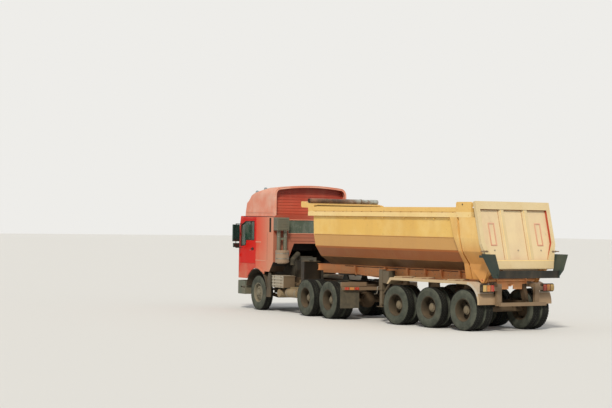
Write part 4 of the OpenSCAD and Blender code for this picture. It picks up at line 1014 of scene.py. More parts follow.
def boxes(name: str, spans: list[Span], edge: float = 0.004, both: bool = False) -> Object:
    """Make rounded boxes between pairs of corners, as one object.

    Args:
        name: The object's name.
        spans: Each box's lowest and highest corner.
        edge: Width of the rounding.
        both: Whether the boxes are on both sides.

    Returns:
        The new object.
    """
    made = []
    for low, high in spans:
        made.append(box("part", low, high, edge))
        if both:
            made.append(box("part", (low[0], -high[1], low[2]), (high[0], -low[1], high[2]), edge))
    return join(made, name)


def rods(name: str, lines: list[Span], radius: float, both: bool = False, sides: int = 10) -> Object:
    """Make round bars between pairs of points, as one object.

    Args:
        name: The object's name.
        lines: Each bar's two ends.
        radius: The bars' radius.
        both: Whether the bars are on both sides.
        sides: Number of flats round a bar.

    Returns:
        The new object.
    """
    made = []
    for start, end in lines:
        made.append(rod("part", start, end, radius, sides, 0.0))
        if both:
            made.append(rod("part", other_side(start), other_side(end), radius, sides, 0.0))
    return smooth(join(made, name))


def studs(name: str, axis: str, places: list[Point], radius: float, height: float,
          both: bool = False) -> Object:
    """Set bolt heads at places, as one object.

    Args:
        name: The object's name.
        axis: Where the heads face, such as "+y".
        places: Where their feet stand.
        radius: A head's radius.
        height: A head's height.
        both: Whether the heads are on both sides.

    Returns:
        The new object.
    """
    made = [repeated(bolt(axis, radius, height), places, name)]
    if both:
        made.append(repeated(bolt("-y", radius, height), [other_side(place) for place in places], name))
    return join(made, name)


def chain(points: list[Point]) -> list[Span]:
    """Give the closed line's edges between neighbouring points."""
    return list(zip(points, points[1:] + points[:1]))


@dataclass(frozen=True)
class Mount:
    """A body that pieces are put on, and what their numbers are measured from."""

    body: str
    datum: Datum

    def add(self, item: Object, finish: str, slot: str, stands_for: tuple[str, ...] = ()) -> Object:
        """Place, paint and attach a finished piece to its body.

        Args:
            item: The piece, drawn from the datum.
            finish: Name of its finish.
            slot: Not used.
            stands_for: CAD nodes that it replaces.

        Returns:
            The same piece.
        """
        moved(item, self.datum.matrix())
        item.data.materials.clear()
        item.data.materials.append(Paints.get(finish))
        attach(item, self.body)
        if stands_for:
            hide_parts(*stands_for)
        return item


BODY = Mount("tipping_body", TRAILER)
TAIL = Mount("tailgate", GATE)
TRAILER_FRAME = Mount("trailer", TRAILER)
TRACTOR_FRAME = Mount("tractor", TRACTOR)
CAB = Mount("cab", TRACTOR)
SIDES = (("left", 1.0), ("right", -1.0))


# How far a tyre's bead stands in from its widest place

BEAD = 0.034


# CAD nodes that keep their own mesh


@dataclass(frozen=True)
class Zone:
    """Faces of a CAD node that get a finish of their own, picked by place and direction.

    Places are read with y as a distance from the centre plane, so both sides match.
    """

    node: str
    finish: str
    datum: Datum
    low: Point
    high: Point
    facing: Point | None = None
    least: float = 0.6

    def holds(self, middle: Vector, normal: Vector) -> bool:
        """Tell whether a face belongs to the zone.

        Args:
            middle: The face's middle from the zone's datum.
            normal: The face's direction from the zone's datum.

        Returns:
            True where the face lies in the zone and looks its way.
        """
        place = (middle.x, abs(middle.y), middle.z)
        if not all(a <= value <= b for a, value, b in zip(self.low, place, self.high)):
            return False
        if self.facing is None:
            return True
        outward = Vector((normal.x, math.copysign(normal.y, normal.y * middle.y), normal.z))
        return outward.dot(Vector(self.facing)) >= self.least


ZONES = (
    Zone("tailgate", "gate_panel", GATE, (0.015, 0.0, -1.6), (0.0225, 1.2, -0.15)),
    Zone("tailgate", "gate_pink", GATE, (0.0225, 0.69, -1.14), (0.0395, 0.91, -0.53)),
    Zone("tailgate", "gate_spot", GATE, (0.0225, 0.0, -1.29), (0.0325, 0.9, -1.22)),
    Zone("tailgate", "gate_red", GATE, (0.0225, 1.05, -1.53), (0.0895, 1.16, -0.2), (0.0, -1.0, 0.0), 0.5),
    Zone("tailgate", "gate_red", GATE, (0.0225, 0.0, -1.515), (0.0895, 1.2, -1.5)),
    # Painted shade on the underside of the top border, over the recessed panel.
    Zone("tailgate", "gate_painted_shade", GATE, (0.0225, 0.0, -0.208), (0.0895, 1.2, -0.2)),
    Zone("tailgate", "lamp_bar", GATE, (0.0901, 1.0, -1.5), (0.3, 1.5, -1.2)),
    Zone("tailgate", "dark_steel", TRAILER, (0.0, 1.2745, 3.1), (0.1, 1.3, 3.3)),
    Zone("body_tub", "load_steel", TRAILER, (-1.0, 0.0, 1.52), (6.471, 1.2125, 2.88), (0.0, -1.0, 0.3), 0.3),
    Zone("body_tub", "load_steel", TRAILER, (-1.0, 0.0, 1.52), (6.471, 0.56, 1.6), (0.0, 0.0, 1.0)),
    Zone("body_tub", "load_steel", TRAILER, (6.2, 0.0, 1.5), (6.4705, 1.22, 2.9), (-1.0, 0.0, 0.0)),
    Zone("door", "mirror_green", TRACTOR, (4.9, 1.262, 1.8), (5.1, 1.6, 2.7)),
    Zone("door", "black_trim", TRACTOR, (4.1, 1.2455, 1.8), (4.4, 1.3, 1.9)),
    Zone("door", "interior", TRACTOR, (4.0, 1.2, 1.39), (5.1, 1.2055, 2.8)),
    Zone("cab_shell", "rear_red", TRACTOR, (2.77, 0.0, 1.3), (2.802, 1.25, 2.9)),
    Zone("cab_shell", "interior", TRACTOR, (2.81, 0.0, 1.3), (5.0, 1.212, 2.83)),
    Zone("cab_shell", "black_trim", TRACTOR, (2.9, 1.2, 2.36), (3.1, 1.2449, 2.81)),
    Zone("cab_shell", "black_trim", TRACTOR, (5.2, 0.0, 1.07), (5.288, 0.72, 1.49)),
    Zone("cab_floor_pan", "chassis_rust", TRACTOR, (2.7, 0.0, 0.9), (5.2, 1.24, 1.35)),
    Zone("cab_floor_pan", "black_trim", TRACTOR, (5.2, 0.0, 1.07), (5.288, 0.72, 1.36)),
    Zone("cab_roof", "roof_red", TRACTOR, (2.9, 0.0, 2.84), (3.01, 1.2, 3.76), (-1.0, 0.0, 0.0)),
    Zone("cab_roof", "roof_red", TRACTOR, (2.79, 0.0, 2.84), (3.01, 1.17, 3.76), (0.0, -1.0, -0.6), 0.55),
    Zone("cab_roof", "rear_red", TRACTOR, (2.79, 0.0, 2.84), (2.81, 1.2, 2.9)),
    Zone("battery_box", "lid_silver", TRACTOR, (2.0, 1.16, 0.7), (3.1, 1.21, 1.1), (0.0, 1.0, 0.0)),
    Zone("cab_glass", "rear_glass", TRACTOR, (2.8, 0.0, 2.3), (2.82, 0.8, 2.8)),
    Zone("trailer_mudguards", "skirt_beige", TRAILER, (-0.8, 0.6, 0.6), (-0.14, 1.2505, 0.97)),
    Zone("spill_guard", "black_trim", TRAILER, (-1.2, 0.0, 1.4), (0.3, 1.0, 1.76)),
    Zone("trailer_mudguards", "guard_white", TRAILER, (-0.8, 0.6, 0.9), (-0.14, 1.3, 1.3)),
    Zone("rear_lamp_bar", "flap", TRACTOR, (-1.4, 0.6, 0.3), (-1.3, 1.3, 0.829)),
    Zone("rear_lamp_bar", "red_lens", TRACTOR, (-1.5, 0.69, 0.83), (-1.4405, 0.83, 0.92)),
    Zone("rear_lamp_bar", "amber_lens", TRACTOR, (-1.5, 0.85, 0.83), (-1.4405, 0.99, 0.92)),
    Zone("rear_lamp_bar", "red_lens", TRACTOR, (-1.5, 1.01, 0.83), (-1.4405, 1.15, 0.92)),
    Zone("underrun_frame", "black_trim", TRAILER, (-0.72, 0.83, 0.99), (-0.6, 1.26, 1.21)),
    Zone("front_bumper", "clear_lens", TRACTOR, (5.3, 0.73, 0.58), (5.358, 1.15, 0.78)),
    Zone("engine_block", "hose", TRACTOR, (2.3, 0.1, 1.26), (3.04, 0.9, 1.9)),
    Zone("intake_stack", "canister", TRACTOR, (2.3, 0.8, 1.43), (2.79, 1.3, 1.86)),
    Zone("fifth_wheel", "grease", TRACTOR, (-0.6, 0.0, 1.24), (0.6, 0.5, 1.26), (0.0, 0.0, 1.0)),
    Zone("trailer_frame", "grease", TRAILER, (5.6, 0.0, 1.1), (6.96, 0.5, 1.2505)),
)


@dataclass
class CarriedNodes:
    """Finishes of the CAD nodes that stay visible."""

    finishes: dict[str, str] = field(default_factory=lambda: {
        "trailer_frame": "trailer_orange", "landing_legs": "leg_grey", "trailer_axles": "chassis_rust",
        "trailer_mudguards": "guard_cream", "underrun_frame": "lamp_bar", "hoist_barrel": "grey_steel",
        "hoist_stage": "chrome_rod", "body_tub": "body_yellow", "body_rails": "rail_yellow",
        "body_posts": "post_gold", "spill_guard": "guard_green", "tarp_roll": "canvas",
        "tailgate": "gate_cream", "tractor_frame": "chassis_rust", "fifth_wheel": "dark_steel",
        "drive_axles": "chassis_rust", "front_axle": "chassis_rust", "engine_block": "grey_steel",
        "front_bumper": "bumper_grey", "battery_box": "box_pale", "air_tanks": "tank_beige",
        "fuel_tank": "tank_silver", "hydraulic_tank": "tank_brown", "rear_lamp_bar": "lamp_bar",
        "mud_panels": "mud_panel", "knuckle": "dark_steel", "cab_floor_pan": "cab_red",
        "cab_shell": "cab_red", "cab_roof": "roof_pink", "cab_glass": "glass", "cab_interior": "interior",
        "intake_stack": "intake_green", "door_glass": "glass", "door": "door_red", "wheel": "tyre_wall"})

    def finish_of(self, node: str) -> str:
        """Give a node's finish by the start of its name."""
        return next(finish for start, finish in self.finishes.items() if node.startswith(start))

    def paint(self) -> None:
        """Give each carried node its materials."""
        for name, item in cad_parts.items():
            glass = name.startswith("door_glass")
            zones = [zone for zone in ZONES if name.startswith(zone.node) and not glass]
            slots = [self.finish_of(name)]
            inverse = {zone.datum: zone.datum.matrix().inverted() for zone in zones}
            picked = []
            for face in item.data.polygons:
                index = 0
                for zone in zones:
                    back = inverse[zone.datum]
                    if zone.holds(back @ face.center, back.to_3x3() @ face.normal):
                        if zone.finish not in slots:
                            slots.append(zone.finish)
                        index = slots.index(zone.finish)
                        break
                picked.append(index)
            item.data.materials.clear()
            for finish in slots:
                item.data.materials.append(Paints.get(finish))
            for face, index in zip(item.data.polygons, picked):
                face.material_index = index
        log.info("painted %d CAD nodes", len(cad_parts))


# Wheels


@dataclass
class Tyre:
    """One tyre, spun round the y axis at the origin."""

    width: float
    outer: float = 0.53
    inner: float = 0.28
    lugs: int = 46
    row_widths: tuple[float, ...] = (0.052, 0.038, 0.038, 0.038, 0.052)
    skew: float = 0.012
    steps: int = 72

    def wall_line(self) -> list[Flat]:
        """Give one wall's section from bead to shoulder.

        Returns:
            Its points as radius and y.
        """
        wall = self.width / 2.0
        low = [(0.0, BEAD), (0.014, 0.020), (0.03, 0.013), (0.036, 0.016), (0.06, 0.006)]
        high = [(0.385, 0.0), (0.415, 0.0), (0.42, -0.002), (0.428, -0.002), (0.433, 0.001), (0.462, 0.007),
                (0.49, 0.016), (self.outer - 0.026, 0.028)]
        line = [(self.inner + radius, wall - y) for radius, y in low]
        return line + [(radius, wall - y) for radius, y in high]

    def build(self) -> tuple[Object, Object]:
        """Model the carcass and its tread.

        Returns:
            The walls and the tread.
        """
        line = self.wall_line()
        wall = self.width / 2.0
        base = self.outer - 0.016
        crown = [(base, wall - 0.05), (base + 0.003, 0.0), (base, -wall + 0.05)]
        inside = [(self.inner - 0.001, 0.0)]
        mirrored = [(radius, -y) for radius, y in reversed(line)]
        walls = lathe("walls", line + crown + mirrored + inside, self.steps)
        tread = self.tread(wall - 0.03)
        return smooth(walls, 30.0), smooth(tread, 30.0)

    def tread(self, span: float) -> Object:
        """Model the tread's blocks in five rows.

        Args:
            span: Half the width that the rows take up.

        Returns:
            The rows as one object.
        """
        rows = []
        pitch = math.tau * self.outer / self.lugs
        middles = (-span + 0.026, -span * 0.43, 0.0, span * 0.43, span - 0.026)
        for index, (middle, width) in enumerate(zip(middles, self.row_widths)):
            shoulder = index in (0, 4)
            odd = index % 2
            skew = self.skew if odd else -self.skew
            foot = self.outer - 0.022
            top = self.outer - (0.004 if shoulder else 0.0004)
            long = pitch * (0.40 if shoulder else 0.36)
            side = width / 2.0
            corners = [(-long + skew, -side), (long + skew, -side), (long - skew, side), (-long - skew, side)]
            lug = plate("lug", [(x, middle + y, foot) for x, y in corners], (0.0, 0.0, top - foot), 0.003)
            moved(lug, Matrix.Rotation(odd * pitch * 0.5 / self.outer, 4, "Y"))
            rows.append(ringed(lug, self.lugs))
        return join(rows, "tread")


@dataclass
class Wheel:
    """What both kinds of wheel share, with the outer side to +y."""

    width: float
    rim: float = 0.282
    hole_circle: float = 0.222
    hole_radius: float = 0.027
    nut_circle: float = 0.1365
    nuts: int = 10
    steps: int = 64

    def ring(self, middle: float) -> Object:
        """Model the rim's ring round its middle plane.

        Args:
            middle: The plane's y.

        Returns:
            The new object.
        """
        bead = self.width / 2.0 - BEAD
        flange = [(0.0, 0.0), (0.02, 0.006), (0.022, 0.013), (0.014, 0.016), (-0.008, 0.012), (-0.024, -0.03)]
        inner = [(self.rim + radius, middle - bead - y) for radius, y in flange]
        outer = [(self.rim + radius, middle + bead + y) for radius, y in reversed(flange)]
        return lathe("ring", inner + outer, self.steps)

    def pierced(self, profile: list[Flat]) -> Object:
        """Model the rim's disc with its eight holes.

        Args:
            profile: The disc's section as radius and y.

        Returns:
            The new object.
        """
        disc = lathe("disc", profile, self.steps)
        ends = [(self.hole_circle, y, 0.0) for y in (-0.1, 0.2)]
        cutter = ringed(rod("cutter", *ends, self.hole_radius, 20, 0.0), 8)
        modified(disc, "BOOLEAN", operation="DIFFERENCE", object=cutter)
        bpy.data.objects.remove(cutter)
        return disc

    def nut_ring(self, foot: float, height: float, ends: Flat) -> list[Object]:
        """Model the wheel nuts and the studs in them.

        Args:
            foot: The y that the nuts stand on.
            height: The nuts' height.
            ends: The y of the studs' ends.

        Returns:
            The ring of nuts and the ring of studs.
        """
        nut = moved(bolt("+y", 0.019, height), shift(self.nut_circle, foot, 0.0))
        pin = rod("stud", *[(self.nut_circle, y, 0.0) for y in ends], 0.0095, 10)
        return [ringed(nut, self.nuts), ringed(pin, self.nuts)]


@dataclass
class TwinWheel(Wheel):
    """A dished rim for one tyre of a pair, and the pair's hub and drum."""

    width: float = 0.278
    pitch: float = 0.322
    hub_out: float = 0.205
    flange_circle: float = 0.107

    def rim_piece(self) -> Object:
        """Model one rim with its dished disc open to +y.

        Returns:
            The new object.
        """
        edge = self.rim - 0.006
        ring = self.ring(self.pitch / 2.0)
        disc = self.pierced([(0.06, 0.0), (0.160, 0.0), (0.172, 0.004), (0.205, 0.024), (0.24, 0.038),
                             (edge, 0.046), (edge, 0.056), (0.235, 0.05), (0.2, 0.035), (0.168, 0.014),
                             (0.155, 0.011), (0.06, 0.011)])
        return smooth(join([ring, disc], "rim"))

    def hub(self) -> Object:
        """Model the hub with its cap, nuts and bolts.

        Returns:
            The new object.
        """
        out = self.hub_out
        profile = [(0.0, -0.02), (0.112, -0.02), (0.112, 0.03), (0.104, 0.045)]
        profile += [(radius, out - y) for radius, y in ((0.1, 0.07), (0.116, 0.064), (0.118, 0.052),
                                                        (0.098, 0.042), (0.082, 0.036), (0.08, 0.018),
                                                        (0.066, 0.012), (0.03, 0.012), (0.026, 0.004),
                                                        (0.0, 0.004))]
        body = lathe("hub", profile, 40, False)
        nuts = self.nut_ring(0.011, 0.028, (0.0, 0.052))
        small = moved(bolt("+y", 0.008, 0.008), shift(self.flange_circle, out - 0.052, 0.0))
        return smooth(join([body, *nuts, ringed(small, self.nuts)], "hub"))

    def drum(self) -> Object:
        """Model the brake drum with its cooling ribs."""
        return smooth(lathe("drum", [(0.1, -0.011), (0.19, -0.011), (0.203, -0.025), (0.203, -0.07),
                                     (0.197, -0.076), (0.197, -0.084), (0.203, -0.09), (0.203, -0.11),
                                     (0.197, -0.116), (0.197, -0.124), (0.205, -0.13), (0.205, -0.17),
                                     (0.188, -0.17), (0.186, -0.04), (0.1, -0.03)], 48))


@dataclass
class SteerWheel(Wheel):
    """The rim of a single steered wheel."""

    width: float = 0.296

    def rim_piece(self) -> Object:
        """Model the rim, its outward dish, hub, nuts and drum.

        Returns:
            The new object.
        """
        edge = self.rim - 0.02
        ring = self.ring(0.0)
        disc = self.pierced([(0.06, 0.096), (0.16, 0.096), (0.172, 0.092), (0.205, 0.072), (0.24, 0.058),
                             (edge, 0.05), (edge, 0.04), (0.235, 0.046), (0.2, 0.061), (0.168, 0.082),
                             (0.155, 0.085), (0.06, 0.085)])
        hub = lathe("hub", [(0.0, 0.02), (0.112, 0.02), (0.112, 0.1), (0.1, 0.112), (0.094, 0.13),
                            (0.072, 0.136), (0.066, 0.148), (0.0, 0.15)], 40, False)
        nuts = self.nut_ring(0.096, 0.026, (0.09, 0.134))
        drum = lathe("drum", [(0.1, 0.08), (0.18, 0.08), (0.193, 0.066), (0.195, -0.08), (0.176, -0.08),
                              (0.174, 0.05), (0.1, 0.06)], 48)
        return smooth(join([ring, disc, hub, *nuts, drum], "rim"))


@dataclass
class RunningGear:
    """All wheels, made from two patterns."""

    radius: float = 0.53
    pair_y: float = 0.974
    axle_pitch: float = 1.35
    bogie_half: float = 0.675
    steer: Flat = (3.93, 1.035)
    rolled_by: Point = (13.0, 21.0, 7.0)
    finishes: tuple[str, ...] = ("tyre_wall", "tyre_tread", "rim_dark", "rim_beige")
    steer_finishes: tuple[str, ...] = ("tyre_wall", "tyre_tread", "rim_grey")

    def build(self) -> None:
        """Model the patterns and set a copy at each wheel's place."""
        trailer_roll, drive_roll, steer_roll = self.rolled_by
        twin = TwinWheel()
        walls, tread = Tyre(twin.width).build()
        half = twin.pitch / 2.0
        pair = [self.pair(walls, half, "pair_walls"), self.pair(tread, half, "pair_tread")]
        pair.append(join(both_sides(twin.rim_piece()) + [twin.drum()], "pair_rims"))
        pair.append(twin.hub())
        for number in (1, 2, 3):
            place = (self.axle_pitch * (3 - number), self.pair_y, self.radius)
            self.fit(f"t{number}", TRAILER, place, number * trailer_roll, pair, self.finishes)
        for number, x in ((1, self.bogie_half), (2, -self.bogie_half)):
            place = (x, self.pair_y, self.radius)
            self.fit(f"d{number}", TRACTOR, place, number * drive_roll, pair, self.finishes)
        steer = SteerWheel()
        single = [*Tyre(steer.width).build(), steer.rim_piece()]
        self.fit("s", TRACTOR, (*self.steer, self.radius), steer_roll, single, self.steer_finishes)
        for pattern in pair + single:
            bpy.data.objects.remove(pattern)

    def pair(self, item: Object, half: float, name: str) -> Object:
        """Join two copies of a tyre's piece.

        Args:
            item: The piece.
            half: How far each stands from the middle.
            name: The joined object's name.

        Returns:
            The joined object.
        """
        other = copy_of(item)
        moved(item, shift(0.0, half, 0.0))
        moved(other, shift(0.0, -half, 0.0) @ Matrix.Rotation(0.04, 4, "Y"))
        return join([item, other], name)

    def fit(self, axle: str, datum: Datum, place: Point, rolled: float, patterns: list[Object],
            finishes: tuple[str, ...]) -> None:
        """Set the pieces of an axle's left and right wheel at their places.

        Args:
            axle: The axle's short name.
            datum: What its place is measured from.
            place: The left wheel's middle.
            rolled: How far the wheels have rolled, in degrees.
            patterns: The pieces to copy.
            finishes: The finish of each piece.
        """
        for side, sign in SIDES:
            node = f"wheel_{axle}_{side}"
            facing = turn(0.0 if sign > 0.0 else 180.0, "Z")
            matrix = shift(place[0], sign * place[1], place[2]) @ facing @ turn(rolled, "Y")
            for part, pattern, finish in zip(("walls", "tread", "rim", "hub"), patterns, finishes):
                made = moved(copy_of(pattern), matrix)
                made.name = f"{part}_{axle}_{side}"
                Mount(node, datum).add(made, finish, "tyre", (node,) if part == "walls" else ())
            log.info("fitted %s", node)


# Trim of the trailer and its body


@dataclass
class BodyTrim:
    """Weld beads, rope hooks, bolts and pin caps on the tipping body."""

    creases: tuple[Flat, ...] = ((1.214, 2.873), (1.196, 2.35), (1.131, 2.028), (0.931, 1.7405),
                                 (0.5605, 1.516))
    ends: Flat = (0.34, 6.44)
    bead: float = 0.006
    hook_xs: tuple[float, ...] = (0.62, 1.5, 2.4, 3.3, 4.95, 5.8)
    hook_line: tuple[Flat, ...] = ((1.236, 2.88), (1.236, 2.835), (1.262, 2.822), (1.266, 2.852))
    groove: Flat = (1.262, 3.005)
    gate_pin: Flat = (0.041, 3.205)
    bolts: tuple[Flat, ...] = ((-0.2, 2.93), (-0.2, 3.08), (0.25, 2.93), (0.25, 3.08), (0.25, 3.2))

    def seams(self) -> None:
        """Lay beads along the creases."""
        lines = [((self.ends[0], y, z), (self.ends[1], y, z)) for y, z in self.creases]
        BODY.add(rods("body_weld_beads", lines, self.bead, True, 6), "weld", "body_yellow")

    def rails(self) -> None:
        """Stitch the rails' groove and hang rope hooks under the rails."""
        stitches = [((x, *self.groove), (x + 0.05, *self.groove))
                    for x in (0.4 + 0.42 * i for i in range(15))]
        BODY.add(rods("rail_stitches", stitches, 0.007, True, 6), "weld", "trailer_orange")
        hooks = [pipe("hook", [(x, side * y, z) for y, z in self.hook_line], 0.007, 2)
                 for x in self.hook_xs for side in (1.0, -1.0)]
        BODY.add(smooth(join(hooks, "rope_hooks")), "post_gold", "body_yellow")

    def corners(self) -> None:
        """Cap the gate's pins and bolt the corner blocks."""
        x, z = self.gate_pin
        profile = [(0.0, 1.283), (0.016, 1.283), (0.021, 1.279), (0.021, 1.274), (0.0, 1.274)]
        cap = lathe("cap", profile, 20, False)
        caps = moved(join(both_sides(cap), "gate_pin_caps"), shift(x, 0.0, z))
        Mount("tailgate", TRAILER).add(smooth(caps), "black_trim", "dark_steel")
        places = [(x, 1.275, z) for x, z in self.bolts]
        BODY.add(studs("corner_bolts", "+y", places, 0.013, 0.009, True), "post_gold", "body_yellow")

    def front(self) -> None:
        """Weld two upright beads to the front wall."""
        beads = [((6.475, y, 1.60), (6.475, y, 2.86)) for y in (-0.55, 0.55)]
        BODY.add(rods("front_wall_beads", beads, self.bead, False, 6), "weld", "body_yellow")

    def build(self) -> None:
        """Make all of it."""
        self.seams()
        self.rails()
        self.corners()
        self.front()
        log.info("trimmed the body")


@dataclass
class GateTrim:
    """Beads, rivets and pale strips on the tail gate."""

    skin: float = 0.022
    face: float = 0.09
    rib_y: float = 0.405
    rib_half: float = 0.1
    panel: tuple[Flat, ...] = ((-1.15, -0.208), (1.15, -0.208), (1.15, -1.07), (0.968, -1.512),
                               (-0.968, -1.512), (-1.15, -1.07))

    def build(self) -> None:
        """Make all of it."""
        ribs = (-self.rib_y, self.rib_y)
        lines = chain([(self.skin, y, z) for y, z in self.panel])
        for y in (rib + side for rib in ribs for side in (-self.rib_half, self.rib_half)):
            lines.append(((self.skin, y, -0.208), (self.skin, y, -1.51)))
        TAIL.add(rods("gate_weld_beads", lines, 0.006, False, 6), "weld", "gate_cream")
        # Pale strips along the left edge of each rib and across the gate's foot.
        strips = [((0.0755, y - 0.06, -1.5), (0.0785, y - 0.045, -0.215)) for y in ribs]
        strips.append(((self.face - 0.001, -1.14, -1.545), (self.face + 0.003, 1.14, -1.525)))
        TAIL.add(boxes("gate_pale_strips", strips, 0.001), "rail_yellow", "gate_cream")
        rivets = [(self.face, side * 1.205, -0.25 - 0.2 * i) for side in (-1, 1) for i in range(5)]
        rivets += [(self.face, -1.1 + 0.275 * i, -0.1) for i in range(9)]
        TAIL.add(studs("gate_rivets", "+x", rivets, 0.011, 0.006), "gate_cream", "gate_cream")
        log.info("trimmed the gate")


@dataclass
class LampSet:
    """Lenses, markers, mudguard strips and beacons."""

    rear_x: float = -0.712
    rear_ys: Point = (0.85, 0.98, 1.11)
    rear_z: Flat = (1.022, 1.188)
    bar_step: float = 0.0226
    marker_xs: tuple[float, ...] = (0.45, 1.33, 2.05, 2.73, 3.55, 4.3, 5.0)
    strip_xs: tuple[float, ...] = (-0.05, 0.62, 1.30, 1.98, 2.66)
    beacons_at: tuple[Point, ...] = ((4.33, 1.05, 3.475), (4.02, 0.92, 3.57))
    head_x: Flat = (5.352, 5.360)

    def rear(self) -> None:
        """Cover the rear clusters with upright bars of lens."""
        foot, top = self.rear_z
        for finish, y in zip(("red_lens", "amber_lens", "yellow_lens"), self.rear_ys):
            lows = [y + 0.004 + self.bar_step * i for i in range(5)]
            bars = [((self.rear_x - 0.012, low, foot + 0.004), (self.rear_x, low + 0.015, top - 0.004))
                    for low in lows]
            TRAILER_FRAME.add(boxes("rear_" + finish, bars, 0.003, True), finish, "lamp_bar")
        small = [((-0.402, -0.44, 1.165), (-0.392, -0.31, 1.225)),
                 ((-0.402, 0.31, 1.165), (-0.392, 0.44, 1.225))]
        TRAILER_FRAME.add(boxes("rear_beam_lamps", small, 0.004), "amber_lens", "lamp_bar")

    def markers(self) -> None:
        """Set small lamps along the trailer's rails and strips on its mudguards."""
        amber = [((x, 0.4905, 1.425), (x + 0.06, 0.503, 1.46)) for x in self.marker_xs]
        TRAILER_FRAME.add(boxes("side_markers", amber, 0.004, True), "amber_lens", "lamp_bar")
        strips = [((x, 0.80, 1.253), (x + 0.42, 0.95, 1.266)) for x in self.strip_xs]
        TRAILER_FRAME.add(boxes("mudguard_strips", strips, 0.003, True), "strip_red", "guard_cream")

    def beacons(self) -> None:
        """Stand two small beacons on each side of the roof's front."""
        profile = [(0.0, -0.02), (0.032, -0.02), (0.032, 0.05), (0.055, 0.055), (0.055, 0.10), (0.048, 0.135),
                   (0.026, 0.152), (0.0, 0.156)]
        places = [(x, side * y, z) for x, y, z in self.beacons_at for side in (1.0, -1.0)]
        domes = [moved(lathe("beacon", profile, 20, False), upright(*place)) for place in places]
        CAB.add(smooth(join(domes, "roof_beacons")), "blue_lens", "glass")

    def front(self) -> None:
        """Set headlamp glasses and turn lamps in the bumper."""
        back, face = self.head_x
        for name, finish, low, high in (
            ("headlamp_glass", "clear_lens", 0.76, 0.98),
            ("turn_lamps", "amber_lens", 1.0, 1.12),
        ):
            glass = boxes(name, [((back, low, 0.60), (face, high, 0.76))], 0.003, True)
            TRACTOR_FRAME.add(glass, finish, "lamp_bar")

    def build(self) -> None:
        """Make all of it."""
        self.rear()
        self.markers()
        self.beacons()
        self.front()
        log.info("set the lamps")


